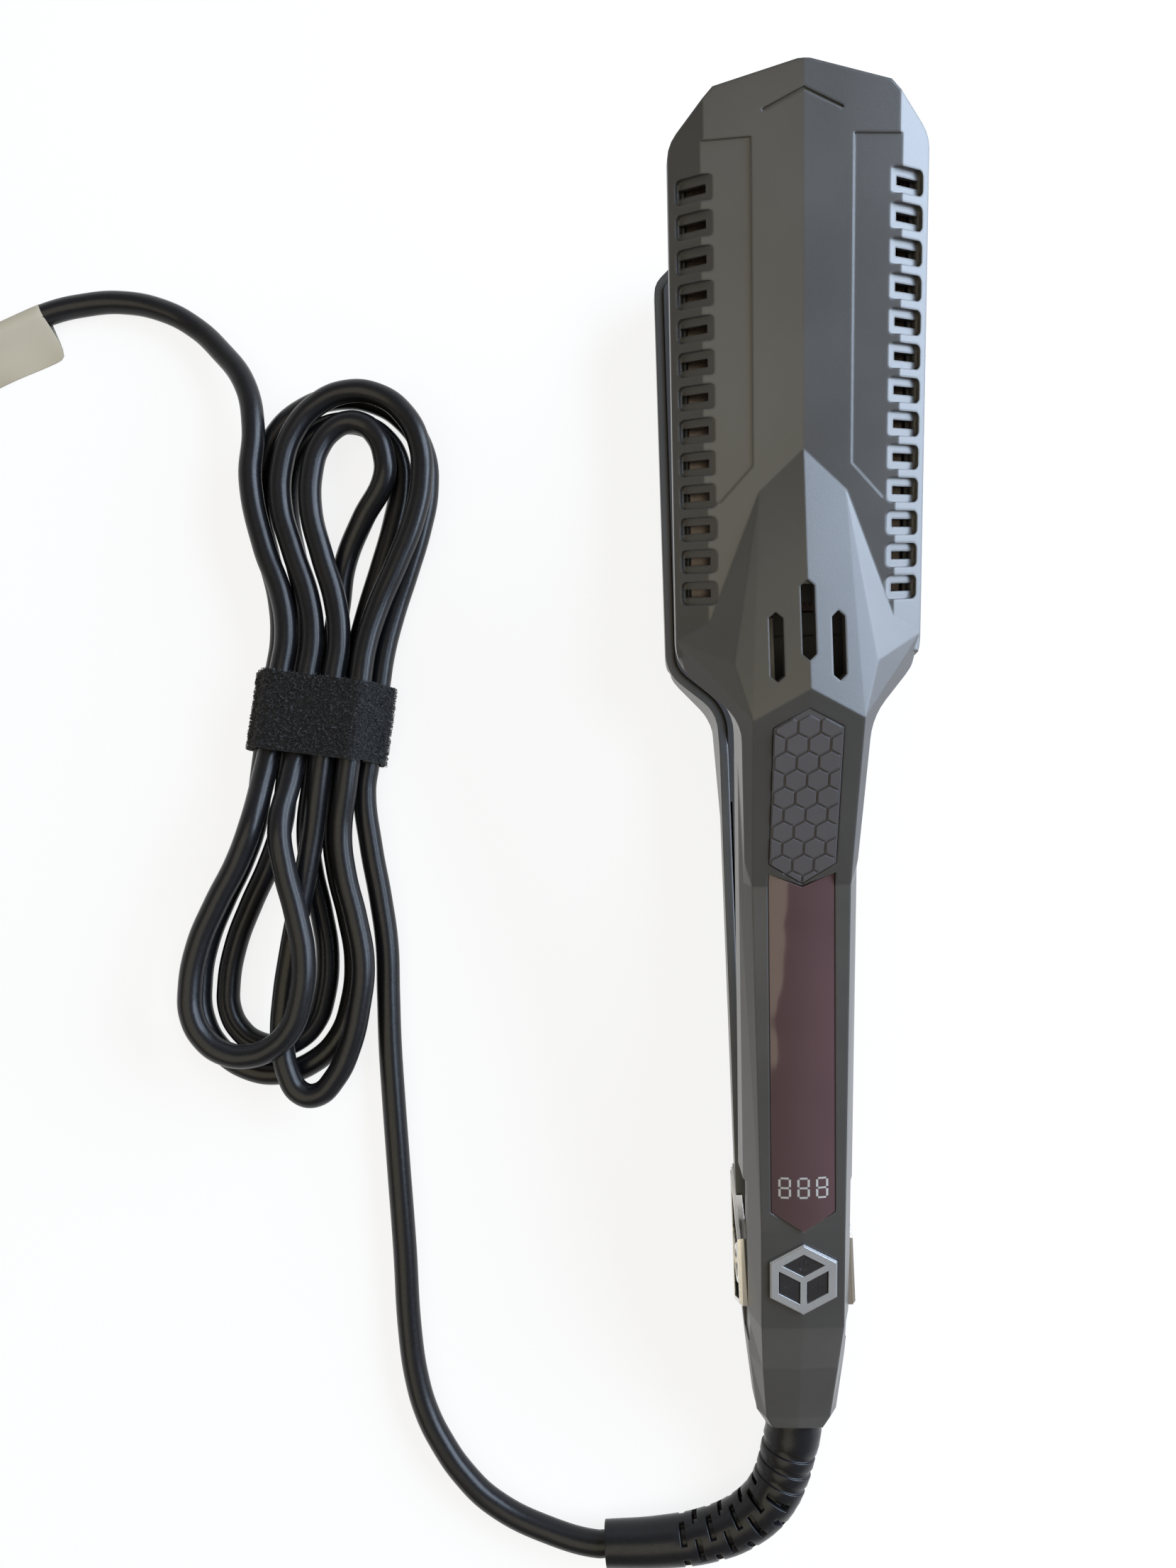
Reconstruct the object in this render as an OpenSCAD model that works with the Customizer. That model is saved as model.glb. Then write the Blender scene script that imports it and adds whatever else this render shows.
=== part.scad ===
// Wide flat iron with a faceted, humped casing, lying open on a table with
// its lead tied in a hank. +Y runs from the lead to the tip, +X to the right
// and +Z up. The origin is on the table, under the middle of the iron.
// Each arm is drawn in its own frame: the hinge axis is X, +Y runs to the
// tip, and +Z points out of the plane where the two arms meet.

/* [Arms] */
// Length from the hinge axis to the tip
arm_l = 262; // [256:1:276]
// Length from the hinge axis to the end of the tail
tail_l = 38; // [37:0.5:40]
// Depth of one arm, from the plane where the arms meet to the table
arm_h = 17; // [16.8:0.1:18]
// Angle between the arms when the iron lies open
open_angle = 15; // [12:0.5:15]
// Wall of the casing
wall = 2.2; // [1.8:0.1:2.4]

/* [Head] */
// Width of the head
head_w = 52; // [50:0.5:58]
// Height of the head's side wall
head_wall_h = 6.4; // [6:0.1:7]
// Height of the edge between the side facet and the top facet
head_edge_h = 11; // [10.6:0.1:11.6]
// Height of the head's ridge
head_ridge_h = 13.4; // [12.8:0.1:14.4]
// Half width of the top facets
head_edge_x = 19.2; // [18.6:0.1:20]
// Fall of the head towards the tip, in degrees
head_fall = 0.8; // [0:0.1:0.9]
// Length of the pointed nose
nose_l = 3.5; // [3:0.1:6]
// Half width of the nose where it meets the corners
nose_x = 17.3; // [15:0.1:18.5]
// Half width of the raised middle panel
panel_x = 10; // [8:0.5:12]
// Height of the panel's step
panel_step = 0.35; // [0.2:0.05:0.5]

/* [Neck] */
// Where the handle starts to widen, from the hinge axis
neck_y = 131; // [128:0.5:133]
// Radius of the neck's curves
neck_r = 10; // [8:0.5:12]
// Steepest angle of the neck
neck_angle = 50; // [45:1:56]
// Height of the hump over the neck
hump_h = 23; // [21:0.25:24]
// Where the hump is highest
hump_y = 142.5; // [140:0.5:144]
// Where the hump's facets start on the ridge
hump_start_y = 190; // [186:1:194]

/* [Handle] */
// Width of the handle
handle_w = 26.6; // [26:0.2:29]
// Height of the handle at its waist, where the grip pad meets the lens
waist_h = 12.5; // [12.2:0.1:13.5]
// Height of the handle over the buttons
deck_h = 16.5; // [16.3:0.1:16.8]
// Half width of the handle's top facet over the buttons
deck_x = 9.5; // [9.2:0.1:10]
// Width of the grip pad and the lens
inlay_w = 14.6; // [13.6:0.1:15.2]
// Depth of the pocket that holds them
inlay_t = 1.2; // [1:0.05:1.3]

/* [Vents] */
// Distance from the last vent to the tip, at the least
vent_tip = 21; // [20:0.5:26]
// Distance from one vent to the next
vent_pitch = 6.57; // [6:0.01:6.6]
// Centre of the vent nearest the handle
vent_y = 161.6; // [160:0.1:163]
// Length of a vent's recess, along the arm
vent_l = 4.9; // [4:0.1:5.2]
// Width of a vent's recess, down the side facet
vent_w = 8.2; // [7:0.1:8.6]
// Depth of a vent's recess
vent_depth = 1.1; // [0.8:0.05:1.2]
// Width of the slot in each recess
vent_slot = 1.6; // [1.2:0.1:2]

/* [Plates] */
// Width of a heated plate
plate_w = 43; // [40:0.5:43.5]
// Distance from a heated plate to the tip
plate_tip = 16; // [16:0.5:24]
// End of the plate nearest the handle
plate_y = 158; // [157.5:0.1:159]
// Travel of a floating plate
plate_travel = 1; // [0.5:0.1:1]

/* [Buttons] */
// Width of the hexagonal button frame
hex_w = 15.3; // [14.6:0.1:15.8]
// Centre of the button frame, from the hinge axis
hex_y = 6.6; // [6:0.1:7]
// Width of the frame's band
hex_band = 2; // [1.6:0.1:2.2]
// Width of the bars between the buttons
hex_bar = 1.5; // [1.3:0.1:1.7]
// Travel of a button
button_travel = 0.35; // [0.2:0.05:0.4]

/* [Hinge] */
// Radius of the hinge pin
pin_r = 2; // [1.8:0.1:2.2]
// Radius of the hinge lugs
lug_r = 5.2; // [4.8:0.1:5.4]
// Wire of the hinge spring
spring_wire = 0.9; // [0.7:0.05:1]
// Radius of the hinge spring
spring_r = 2.9; // [2.6:0.1:3]
// Turns of the hinge spring
spring_turns = 7; // [5:1:8]
// Place of the spring, from the hinge axis
spring_y = 20; // [19.5:0.1:21]

/* [Lead] */
// Diameter of the cord
cord_d = 6.1; // [5.6:0.1:6.1]
// Radius of the bend relief where it leaves the iron
boot_r = 7; // [6.6:0.1:7]
// Distance between neighbouring strands of the hank
strand_pitch = 7; // [6.9:0.05:7.1]
// Half length of a strand's straight run
run_half = 73; // [68:1:76]
// Width of the hank's tie
tie_w = 21; // [19:1:26]

/* [Clearances] */
// Radial clearance of a turning fit
turn_gap = 0.05; // [0.03:0.01:0.09]
// Clearance between a fitted piece and its seat
fit_gap = 0.15; // [0.1:0.01:0.2]
// Clearance between pieces that move past each other
move_gap = 0.3; // [0.25:0.05:0.4]
// Half the seam between the arms where they lie closest
seam_gap = 0.6; // [0.5:0.05:0.7]

/* [Hidden] */

housing_c = [0.16, 0.165, 0.18];
inner_c = [0.07, 0.07, 0.075];
gloss_c = [0.05, 0.035, 0.035];
silver_c = [0.68, 0.70, 0.73];
chrome_c = [0.80, 0.79, 0.77];
cord_c = [0.045, 0.045, 0.05];

// The iron's middle is the origin, so the hinge axis lies behind it.
tail_top = 9.8;
pivot_y = (tail_l * cos(open_angle) + tail_top * sin(open_angle) - arm_l) / 2;
waist_y = 98.5;          // where the lens meets the grip pad
lens_y = 18.5;           // the lens's end over the buttons
tail_y = -6;             // where the top starts to fall to the tail
pad_slope = atan2(hump_h - waist_h, hump_y - waist_y);
lens_slope = atan2(waist_h - deck_h, waist_y - lens_y);
head_half = head_w / 2;
handle_half = handle_w / 2;
head_y = 157;            // where the head has its full width
plate_l = arm_l - plate_tip - plate_y;
vent_n = floor((arm_l - vent_tip - vent_y) / vent_pitch) + 1;
below = -7;              // casing bodies start below the seam that trims them
cover_z = seam_gap + 0.4;
cover_t = 1.4;
frame_z = 0.9;           // the head frame's face, just behind the plate's
frame_t = 2.9;
frame_y = 152;
ledge_t = 0.7;
plate_face = 0.15;
plate_lip_z = frame_z + ledge_t + fit_gap;
plate_lip = 0.8;
plate_t = plate_lip_z + 0.85;
heater_t = 1.8;
carrier_t = 2.8;
carrier_half = 17;
pad_t = plate_travel + 0.8;
shield_z = plate_t + carrier_t + pad_t;
shield_t = 0.6;
shield_half = 15;

// Hinge stack, from the inside out, on each side
ear_x = [7.4, 9.6];
lug_x = [9.8, 11.35];
bezel_x = lug_x[1] + fit_gap;
bezel_pts = [[22, -6.8], [8, 7.4], [-7.5, 7.4], [-11.5, -6.8]];
bezel_band = 1.4;
cap_r = 4.8;
cheek_y = [-14, 26];
cup_r = spring_r + spring_wire / 2 + 0.6;
cup_depth = 5;

// Swivel, along Y at the tail
swivel_z = 8.6;          // below the plane where the arms meet
collar_r = 6.6;
swivel_r = 4.35;
flange_r = 5.5;
collar_l = 8;
lip_l = 2.4;

board_z = 8.4;
board_t = 1.2;
board_half = 8.1;
board_y = [-6.4, 62];
switch_h = 2.2;
button_foot = board_z + board_t + switch_h + 0.6 + button_travel + 0.05;
screw_spots = [[0, 72], [0, 119]];
frame_spots = [[-17.5, 154.4], [17.5, 154.4]];
post_r = 2.7;
screw_r = 1.2;

// Plain vector helpers
function unit(v) = v / norm(v);
function turned(v) = [v[1], -v[0]];
function smooth(t) = let (u = min(1, max(0, t))) u * u * (3 - 2 * u);
function mirrored(pts) = [for (i = [len(pts) - 1:-1:0]) [-pts[i][0], pts[i][1]]];

// A polygon that runs anticlockwise, moved in by d on every side.
function inset(pts, d) = let (n = len(pts)) [
    for (i = [0:n - 1]) let (
        a = turned(unit(pts[i] - pts[(i + n - 1) % n])),
        b = turned(unit(pts[(i + 1) % n] - pts[i])))
        pts[i] - (a + b) * (d / (1 + a * b))];

// Solid between sections with the same number of points. Each section is a
// list of 3-D points, and the two ends are flat.
function strip(n, i, flip) = [for (j = [0:n - 1]) let (
    a = i * n + j, b = i * n + (j + 1) % n, c = a + n, d = b + n)
    each (flip[j] ? [[c, b, a], [c, d, b]] : [[d, b, a], [c, d, a]])];
module loft(sections, flip = []) {
    n = len(sections[0]);
    m = len(sections);
    f = len(flip) == n ? flip : [for (j = [0:n - 1]) false];
    polyhedron(points = [for (s = sections) each s], faces = concat(
        [[for (j = [0:n - 1]) j]],
        [for (i = [0:m - 2]) each strip(n, i, f)],
        [[for (j = [n - 1:-1:0]) (m - 1) * n + j]]));
}
// The convex body of a few corner points.
module corner_body(pts) {
    hull() polyhedron(points = pts, faces = [[for (i = [0:len(pts) - 1]) i]]);
}
module box(x, y, z) {
    translate([x[0], y[0], z[0]])
        cube([x[1] - x[0], y[1] - y[0], z[1] - z[0]]);
}
module sides() {
    children();
    mirror([1, 0, 0]) children();
}
module rounded(l, w, r) {
    square([l, w - 2 * r], center = true);
    square([l - 2 * r, w], center = true);
    for (x = [-1, 1], y = [-1, 1])
        translate([x * (l / 2 - r), y * (w / 2 - r)]) circle(r, $fn = 24);
}
// Long hexagon with pointed ends, from y = 0 to l.
module pointed(l, w, tip) {
    polygon([[0, 0], [w / 2, tip], [w / 2, l - tip], [0, l],
        [-w / 2, l - tip], [-w / 2, tip]]);
}

// Tube swept along points: one ring for each point, square to the route.
function tangent(p, i) = unit(p[min(i + 1, len(p) - 1)] - p[max(i - 1, 0)]);
function ring(c, t, r, n) = let (
    s = unit(cross([0, 0, 1], t)), u = cross(t, s))
    [for (k = [0:n - 1]) c + r * (s * cos(360 * k / n) + u * sin(360 * k / n))];
module tube(p, r, n, span = []) {
    rs = is_list(r) ? r : [for (q = p) r];
    s = len(span) == 2 ? span : [0, len(p) - 1];
    loft([for (i = [s[0]:s[1]]) ring(p[i], tangent(p, i), rs[i], n)]);
}

module place_lower() {
    translate([0, pivot_y, arm_h]) mirror([0, 0, 1]) children();
}
module place_upper() {
    translate([0, pivot_y, arm_h]) rotate([open_angle, 0, 0]) children();
}

// Casing
// Half of the head's plan, from the handle to the tip: two curves for the
// neck, one for the corner, and the pointed nose.
neck_run = (head_half - handle_half - 2 * neck_r * (1 - cos(neck_angle)))
    / sin(neck_angle);
neck_l = 2 * neck_r * sin(neck_angle) + neck_run * cos(neck_angle);
corner_r = 6;
corner_y = arm_l - nose_l - corner_r * sin(45)
    - (head_half - corner_r * (1 - cos(45)) - nose_x);
arc_step = 10;
head_half_pts = concat(
    [[handle_half, waist_y + 12]],
    [for (t = [0:arc_step:neck_angle])
        [handle_half + neck_r * (1 - cos(t)), neck_y + neck_r * sin(t)]],
    [for (t = [neck_angle:-arc_step:0])
        [head_half - neck_r * (1 - cos(t)), neck_y + neck_l - neck_r * sin(t)]],
    [for (t = [0:15:45])
        [head_half - corner_r * (1 - cos(t)), corner_y + corner_r * sin(t)]],
    [[nose_x, arm_l - nose_l], [1.2, arm_l]]);
head_pts = concat(head_half_pts, mirrored(head_half_pts));
// The hump is a little narrower than the handle where it leaves it.
hump_half_pts = concat([[handle_half - 1.2, waist_y]],
    [for (i = [1:len(head_half_pts) - 1]) head_half_pts[i]]);
hump_pts = concat(hump_half_pts, mirrored(hump_half_pts));

// Section of the head: side walls, side facets and two top facets
head_section = let (h = [[head_half, below], [head_half, head_wall_h],
    [head_edge_x, head_edge_h], [0, head_ridge_h]])
    concat(h, [for (i = [2:-1:0]) [-h[i][0], h[i][1]]]);
chamfer_angle = atan2(head_edge_h - head_wall_h, head_half - head_edge_x);

module on_head() {
    translate([0, head_y, 0]) rotate([-head_fall, 0, 0]) children();
}
module head_prism(section, front) {
    on_head() translate([0, front, 0]) rotate([90, 0, 0])
        linear_extrude(front + 70) polygon(section);
}
module head_body(d) {
    intersection() {
        rotate([90, 0, 90]) translate([0, 0, -40]) linear_extrude(80)
            polygon([[head_y - 13 + d, below - 2], [head_y - 13 + d, 0],
                [head_y - 5 + d, head_ridge_h + d], [head_y, 30],
                [arm_l + 9, 30], [arm_l + 9, below - 2]]);
        translate([0, 0, below - 1]) linear_extrude(head_ridge_h - below + 4)
            polygon(inset(head_pts, d));
        head_prism(inset(head_section, d), arm_l - head_y + 5);
    }
}

// The handle's sections: place, half width at the wall's top, its height,
// half width of the top facet, its height, and the middle's height. A deep
// arm keeps its full depth in the tail, to hold the swivel.
function handle_stations(deep) = let (t = deep ? arm_h + 0.4 : 0) [
    [-tail_l, 7.3, deep ? 12.5 : 7.6, deep ? 6.2 : 6, deep ? t - 0.6 : 9.6,
        deep ? t : tail_top],
    [-tail_l + 3.5, 9.6, deep ? 11.5 : 7.2, 7.6, deep ? t - 0.6 : 10.3,
        deep ? t : 10.6],
    [-19, 11.4, 7.5, 8.8, deep ? t - 0.6 : 13, deep ? t : 13.4],
    [tail_y, handle_half - 0.9, 7.8, deck_x, deep ? t - 0.6 : deck_h - 0.3,
        deep ? t : deck_h],
    [lens_y, handle_half - 0.7, 7.8, deck_x, deep ? t - 0.6 : deck_h - 0.3,
        deep ? t : deck_h],
    [waist_y, handle_half - 0.3, 7, deck_x + 1.2, waist_h - 0.3, waist_h],
    [crease_y, handle_half - 0.2, 7, deck_x + 1.4, pad_h(crease_y) - 0.6,
        pad_h(crease_y)]];
function handle_section(s) = let (
    e = lookup(s[0], [[-tail_l, 7.4], [-tail_l + 3.5, 9.8], [-19, 11.6],
        [0, handle_half], [200, handle_half]]),
    h = [[e, below], [s[1], s[2]], [s[3], s[4]], [0, s[5]]])
    concat(h, [for (i = [2:-1:0]) [-h[i][0], h[i][1]]]);
module handle_body(d, deep) {
    all = handle_stations(deep);
    last = len(all) - 1;
    loft([for (i = [0:last]) let (
        s = all[i],
        y = i == 0 ? s[0] + d : s[0],
        pts = inset(handle_section(s), d))
        [for (k = [len(pts) - 1:-1:0]) [pts[k][0], y, pts[k][1]]]],
        [true, true, true, false, false, false, false]);
}

// The hump: two facets rise from the ridge to its top, and the pad's slope
// falls from there to the handle's waist.
function head_top(x, y) = head_ridge_h - (y - head_y) * tan(head_fall)
    - x * (head_ridge_h - head_edge_h) / head_edge_x;
crease_y = hump_y - 6.5;
function pad_h(y) = waist_h + (y - waist_y) * tan(pad_slope);
hump_half = [
    [8.8, hump_start_y - 8, head_top(8.8, hump_start_y - 8)],
    [14.7, hump_y + 4.8, hump_h - 5.7],
    [deck_x + 1.9, crease_y, pad_h(crease_y) - 0.55],
    [deck_x + 1.2, waist_y, waist_h - 0.3],
    [head_half, head_y - 5, head_wall_h],
    [handle_half - 0.3, waist_y, 7],
    [head_half, head_y - 5, below],
    [handle_half, waist_y, below],
    [8.8, hump_start_y - 8, below]];
module hump_body(d) {
    up = [[0, hump_start_y, head_top(0, hump_start_y)], [0, hump_y, hump_h],
        [0, waist_y, waist_h], [0, hump_start_y, below]];
    pts = concat(up, hump_half, [for (p = hump_half) [-p[0], p[1], p[2]]]);
    intersection() {
        corner_body([for (p = pts)
            [p[0] - sign(p[0]) * d, p[1], p[2] > 0 ? p[2] - 1.1 * d : p[2]]]);
        translate([0, 0, below - 1]) linear_extrude(hump_h - below + 4)
            polygon(inset(hump_pts, d));
    }
}
module casing(d, deep) {
    handle_body(d, deep);
    head_body(d);
    hump_body(d);
}
// Everything past the seam: level along the handle, lower at the head, and
// rising behind the hinge, so that the tails meet when the arms are open.
module past_seam(extra = 0) {
    tail = open_angle / 2;
    z = seam_gap + extra;
    rotate([90, 0, 90]) translate([0, 0, -40]) linear_extrude(80)
        polygon([[-tail_l - 5, -30], [arm_l + 5, -30], [arm_l + 5, z + 1],
            [neck_y, z + 1], [neck_y - 6, z], [0, z],
            [-8, z / 2 + 8 * tan(tail)],
            [-tail_l - 5, z / 2 + (tail_l + 5) * tan(tail)]]);
}

// Vents along the side facets, with one recess and one slot each
module on_side_facet() {
    on_head() translate([head_edge_x, 0, head_edge_h])
        rotate([0, chamfer_angle, 0]) children();
}
vent_v = 3.3;            // centre of a vent, down the facet from its edge
module vents() {
    span = [for (i = [0:vent_n - 1]) vent_y - head_y + i * vent_pitch];
    sides() on_side_facet() {
        translate([0, 0, -vent_depth]) linear_extrude(6)
            for (y = span) translate([vent_v - 0.8, y])
                rounded(vent_w, vent_l, 1.2);
        translate([0, 0, -8]) linear_extrude(10)
            for (y = span) translate([vent_v, y])
                square([vent_w - 2, vent_slot], center = true);
    }
}
// The low strips beside the raised panel, and the short chevron at the nose
module panel_strips() {
    far = arm_l - 13;
    sides() intersection() {
        translate([0, 0, 5]) linear_extrude(12)
            polygon([[panel_x, far], [panel_x, hump_start_y - 3],
                [panel_x + 6.6, hump_start_y - 10],
                [head_half, hump_start_y - 10], [head_half, far]]);
        on_head() translate([0, 130, 0]) rotate([90, 0, 0])
            linear_extrude(140) polygon([
                [0, head_ridge_h - panel_step],
                [head_half + 2, head_ridge_h - panel_step
                    - (head_half + 2) * (head_ridge_h - head_edge_h) / head_edge_x],
                [head_half + 2, 20], [0, 20]]);
    }
}
module chevron() {
    sides() translate([0, arm_l - 5.2, head_top(0, arm_l - 5.2) - 0.35])
        rotate([0, atan2(head_ridge_h - head_edge_h, head_edge_x), -23])
            translate([-0.3, -0.25, 0]) cube([8.8, 0.5, 2]);
}
// Three cooling slots in the hump, the middle one further forward
module hump_slots() {
    for (s = [[-6.3, hump_y + 1.2, 14], [0, hump_y + 5.5, 16],
            [6.3, hump_y + 1.2, 14]])
        translate([s[0], s[1], 8]) linear_extrude(20) pointed(s[2], 2.8, 1.2);
}

module on_lens() {
    translate([0, lens_y, deck_h]) rotate([lens_slope, 0, 0]) children();
}
module on_pad() {
    translate([0, waist_y, waist_h]) rotate([pad_slope, 0, 0]) children();
}
lens_l = (waist_y - lens_y) / cos(lens_slope);
pad_l = (hump_y - 4 - waist_y) / cos(pad_slope);
function lens_pts(d) = let (x = inlay_w / 2 - d, k = d * 0.6) [
    [0, d * 1.1], [x, 4.6 + k], [x, lens_l + 3 - d], [0, lens_l - d * 1.1],
    [-x, lens_l + 3 - d], [-x, 4.6 + k]];
function pad_pts(d) = let (x = inlay_w / 2 - d, k = d * 0.6) [
    [0, 0.4 + d * 1.1], [x, 5.3 + k], [x, pad_l - 4.4 - k],
    [0, pad_l - d * 1.1], [-x, pad_l - 4.4 - k], [-x, 5.3 + k]];
window_y = [6.2, 15.2];  // display window, from the lens's lower point
window_x = inlay_w / 2 - 0.5;

// Rhombus of one button, from the frame's middle outwards, moved in by d
module rhombus(d) {
    s = (hex_w / 2 - hex_band) / cos(30) - hex_bar / 2 / sin(60);
    a = hex_bar / 2 / sin(60) + d / sin(60);
    k = s - 2 * d / sin(60);
    translate([0, a]) polygon([[0, 0], [k * cos(30), k / 2], [0, k],
        [-k * cos(30), k / 2]]);
}
module on_deck(z) {
    translate([0, hex_y, z]) children();
}

module screw_posts(deep) {
    for (s = screw_spots) translate([s[0], s[1], cover_z + cover_t])
        cylinder(r = post_r, h = 30, $fn = 32);
    for (s = frame_spots) translate([s[0], s[1], frame_z + frame_t])
        cylinder(r = post_r, h = 30, $fn = 32);
    for (x = [-8, 8], y = [plate_y + 22, plate_y + plate_l - 22])
        translate([x, y, shield_z + shield_t])
        cylinder(r = 2, h = 30, $fn = 32);
    if (!deep) for (s = [[-5.5, 59], [5.5, 59], [0, -4.2]])
        translate([s[0], s[1], board_z + board_t])
            cylinder(r = 1.6, h = 30, $fn = 32);
}
module screw_pilots() {
    for (s = concat(screw_spots, frame_spots))
        translate([s[0], s[1], 0]) cylinder(r = screw_r + 0.02, h = 8.4, $fn = 32);
}
// Cheeks thicken the side walls at the hinge.
module cheeks() {
    sides() box([lug_x[0], bezel_x], cheek_y, [below, 9.5]);
}
// Side pockets of the upper arm, where the bezels lie
module hinge_pockets(y, z) {
    sides() box([lug_x[1], 20], y, z);
}
module lug_hole(r, x) {
    sides() translate([x[0], 0, 0]) rotate([0, 90, 0])
        cylinder(r = r, h = x[1] - x[0], $fn = 64);
}

// One arm's casing, without what the hinge and the tail add
module arm_casing(deep) {
    difference() {
        casing(0, deep);
        difference() {
            casing(wall, deep);
            screw_posts(deep);
            cheeks();
            if (deep) box([-30, 30], [-60, 300], [arm_h - wall, 60]);
        }
        past_seam();
        screw_pilots();
        vents();
        panel_strips();
        chevron();
    }
}

module upper_shell() {
    color(housing_c) difference() {
        union() {
            place_upper() difference() {
                arm_casing(false);
                hinge_pockets([cheek_y[0] - 1, cheek_y[1] + 1], [-9, 9.6]);
                hump_slots();
                on_lens() translate([0, 0, -inlay_t]) linear_extrude(6)
                    polygon(lens_pts(0));
                on_lens() box([-window_x, window_x], window_y, [-5, 1]);
                on_pad() translate([0, 0, -inlay_t]) linear_extrude(6)
                    polygon(pad_pts(0));
                on_deck(deck_h - inlay_t) linear_extrude(4) rotate(30)
                    circle(r = hex_w / 2 / cos(30) + fit_gap, $fn = 6);
                on_deck(deck_h - 5) linear_extrude(8)
                    for (a = [0, 120, 240]) rotate(a) rhombus(0);
            }
            place_upper() sides() translate([lug_x[0], 0, 0]) rotate([0, 90, 0])
                cylinder(r = lug_r, h = lug_x[1] - lug_x[0], $fn = 64);
        }
        place_upper() lug_hole(pin_r + turn_gap, [lug_x[0] - 1, lug_x[1] + 1]);
        place_lower() swivel_clearance();
    }
}
module swivel_clearance() {
    translate([0, -tail_l - 2, swivel_z]) rotate([-90, 0, 0]) {
        cylinder(r = collar_r + move_gap, h = collar_l + 3, $fn = 64);
        cylinder(r = boot_r + move_gap, h = 2, $fn = 64);
    }
}
module lower_shell() {
    color(housing_c) place_lower() {
        difference() {
            union() {
                intersection() {
                    difference() {
                        arm_casing(true);
                        bezel_pocket();
                        lug_hole(lug_r + move_gap, [lug_x[0] - 0.1, 20]);
                    }
                    box([-40, 40], [-tail_l - 2, arm_l + 2], [-20, arm_h]);
                }
                ears();
                swivel_collar();
            }
            lug_hole(pin_r + 0.02, [ear_x[0] - 1, ear_x[1] + 0.1]);
            swivel_bore();
        }
    }
}
module ears() {
    sides() {
        box(ear_x, [-lug_r, lug_r], [0, deck_h - 1]);
        translate([ear_x[0], 0, 0]) rotate([0, 90, 0])
            cylinder(r = lug_r, h = ear_x[1] - ear_x[0], $fn = 64);
    }
}
module swivel_collar() {
    translate([0, -tail_l, swivel_z]) rotate([-90, 0, 0])
        cylinder(r = collar_r, h = collar_l, $fn = 64);
}
module swivel_bore() {
    translate([0, -tail_l, swivel_z]) rotate([-90, 0, 0]) {
        translate([0, 0, -1]) cylinder(r = swivel_r + turn_gap, h = 12, $fn = 64);
        translate([0, 0, lip_l])
            cylinder(r = flange_r + move_gap, h = 12, $fn = 64);
    }
}

// Inner covers and head frames
module inner_cover() {
    color(inner_c) difference() {
        union() {
            translate([0, 0, cover_z]) linear_extrude(cover_t) intersection() {
                union() {
                    polygon(inset(head_pts, wall + fit_gap));
                    translate([-handle_half + wall + 0.7, cheek_y[1]])
                        square([handle_w - 2 * wall - 1.4, 100]);
                    translate([-lug_x[0] + fit_gap, 14])
                        square([2 * (lug_x[0] - fit_gap), 20]);
                }
                translate([-40, 14]) square([80, frame_y - 14 - fit_gap]);
            }
            translate([0, spring_y, cover_z])
                cylinder(r = cup_r + 1, h = cup_depth - cover_z + 1, $fn = 48);
        }
        translate([0, spring_y, -1])
            cylinder(r = cup_r, h = cup_depth + 1, $fn = 48);
        for (s = screw_spots) translate([s[0], s[1], 0])
            screw_hole(cover_z + cover_t);
    }
}
module screw_hole(top) {
    cylinder(r = screw_r + 0.1, h = top + 3, $fn = 32);
    translate([0, 0, top - 0.8 - 5]) cylinder(r = 2.3, h = 5, $fn = 32);
}
module screw(top) {
    translate([0, 0, top - 0.8 - 0.7]) cylinder(r = 2.2, h = 0.7, $fn = 32);
    translate([0, 0, top - 1]) cylinder(r = screw_r, h = 5, $fn = 32);
}
module head_frame() {
    x = plate_w / 2;
    y = [plate_y, plate_y + plate_l];
    color(inner_c) difference() {
        translate([0, 0, frame_z]) linear_extrude(frame_t) intersection() {
            polygon(inset(head_pts, wall + fit_gap));
            translate([-40, frame_y]) square([80, arm_l]);
        }
        box([-x - 0.3, x + 0.3], [y[0] - 0.3, y[1] + 0.3], [-1, 10]);
        box([-x - plate_lip - 0.3, x + plate_lip + 0.3],
            [y[0] - plate_lip - 0.3, y[1] + plate_lip + 0.3],
            [frame_z + ledge_t, 10]);
        for (s = frame_spots) translate([s[0], s[1], 0])
            screw_hole(frame_z + frame_t - 1.2);
    }
}
module arm_screws() {
    color(silver_c) {
        for (s = screw_spots) translate([s[0], s[1], 0])
            screw(cover_z + cover_t);
        for (s = frame_spots) translate([s[0], s[1], 0])
            screw(frame_z + frame_t - 1.2);
    }
}

// Floating plate, heater and what presses them
module plate() {
    x = plate_w / 2;
    e = 0.8;
    color([0.30, 0.24, 0.22]) {
        translate([0, plate_y + plate_l, 0]) rotate([90, 0, 0])
            linear_extrude(plate_l) polygon([[-x + e, plate_face],
                [x - e, plate_face], [x, plate_face + e], [x, plate_t],
                [-x, plate_t], [-x, plate_face + e]]);
        box([-x - plate_lip, x + plate_lip],
            [plate_y - plate_lip, plate_y + plate_l + plate_lip],
            [plate_lip_z, plate_t]);
    }
}
module heater() {
    color([0.85, 0.82, 0.76])
        box([-9, 9], [plate_y + 10, plate_y + plate_l - 10],
            [plate_t, plate_t + heater_t]);
}
module plate_carrier() {
    color(inner_c) difference() {
        box([-carrier_half, carrier_half],
            [plate_y + 1, plate_y + plate_l - 1],
            [plate_t, plate_t + carrier_t]);
        box([-9.2, 9.2], [plate_y + 9.8, plate_y + plate_l - 9.8],
            [plate_t - 1, plate_t + heater_t + 0.1]);
    }
}
pad_ys = [plate_y + 12, plate_y + plate_l - 12];
module float_pads(y) {
    color([0.75, 0.30, 0.22]) for (x = [-11, 11])
        translate([x, y, plate_t + carrier_t])
            cylinder(r = 2.5, h = pad_t, $fn = 32);
}
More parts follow.
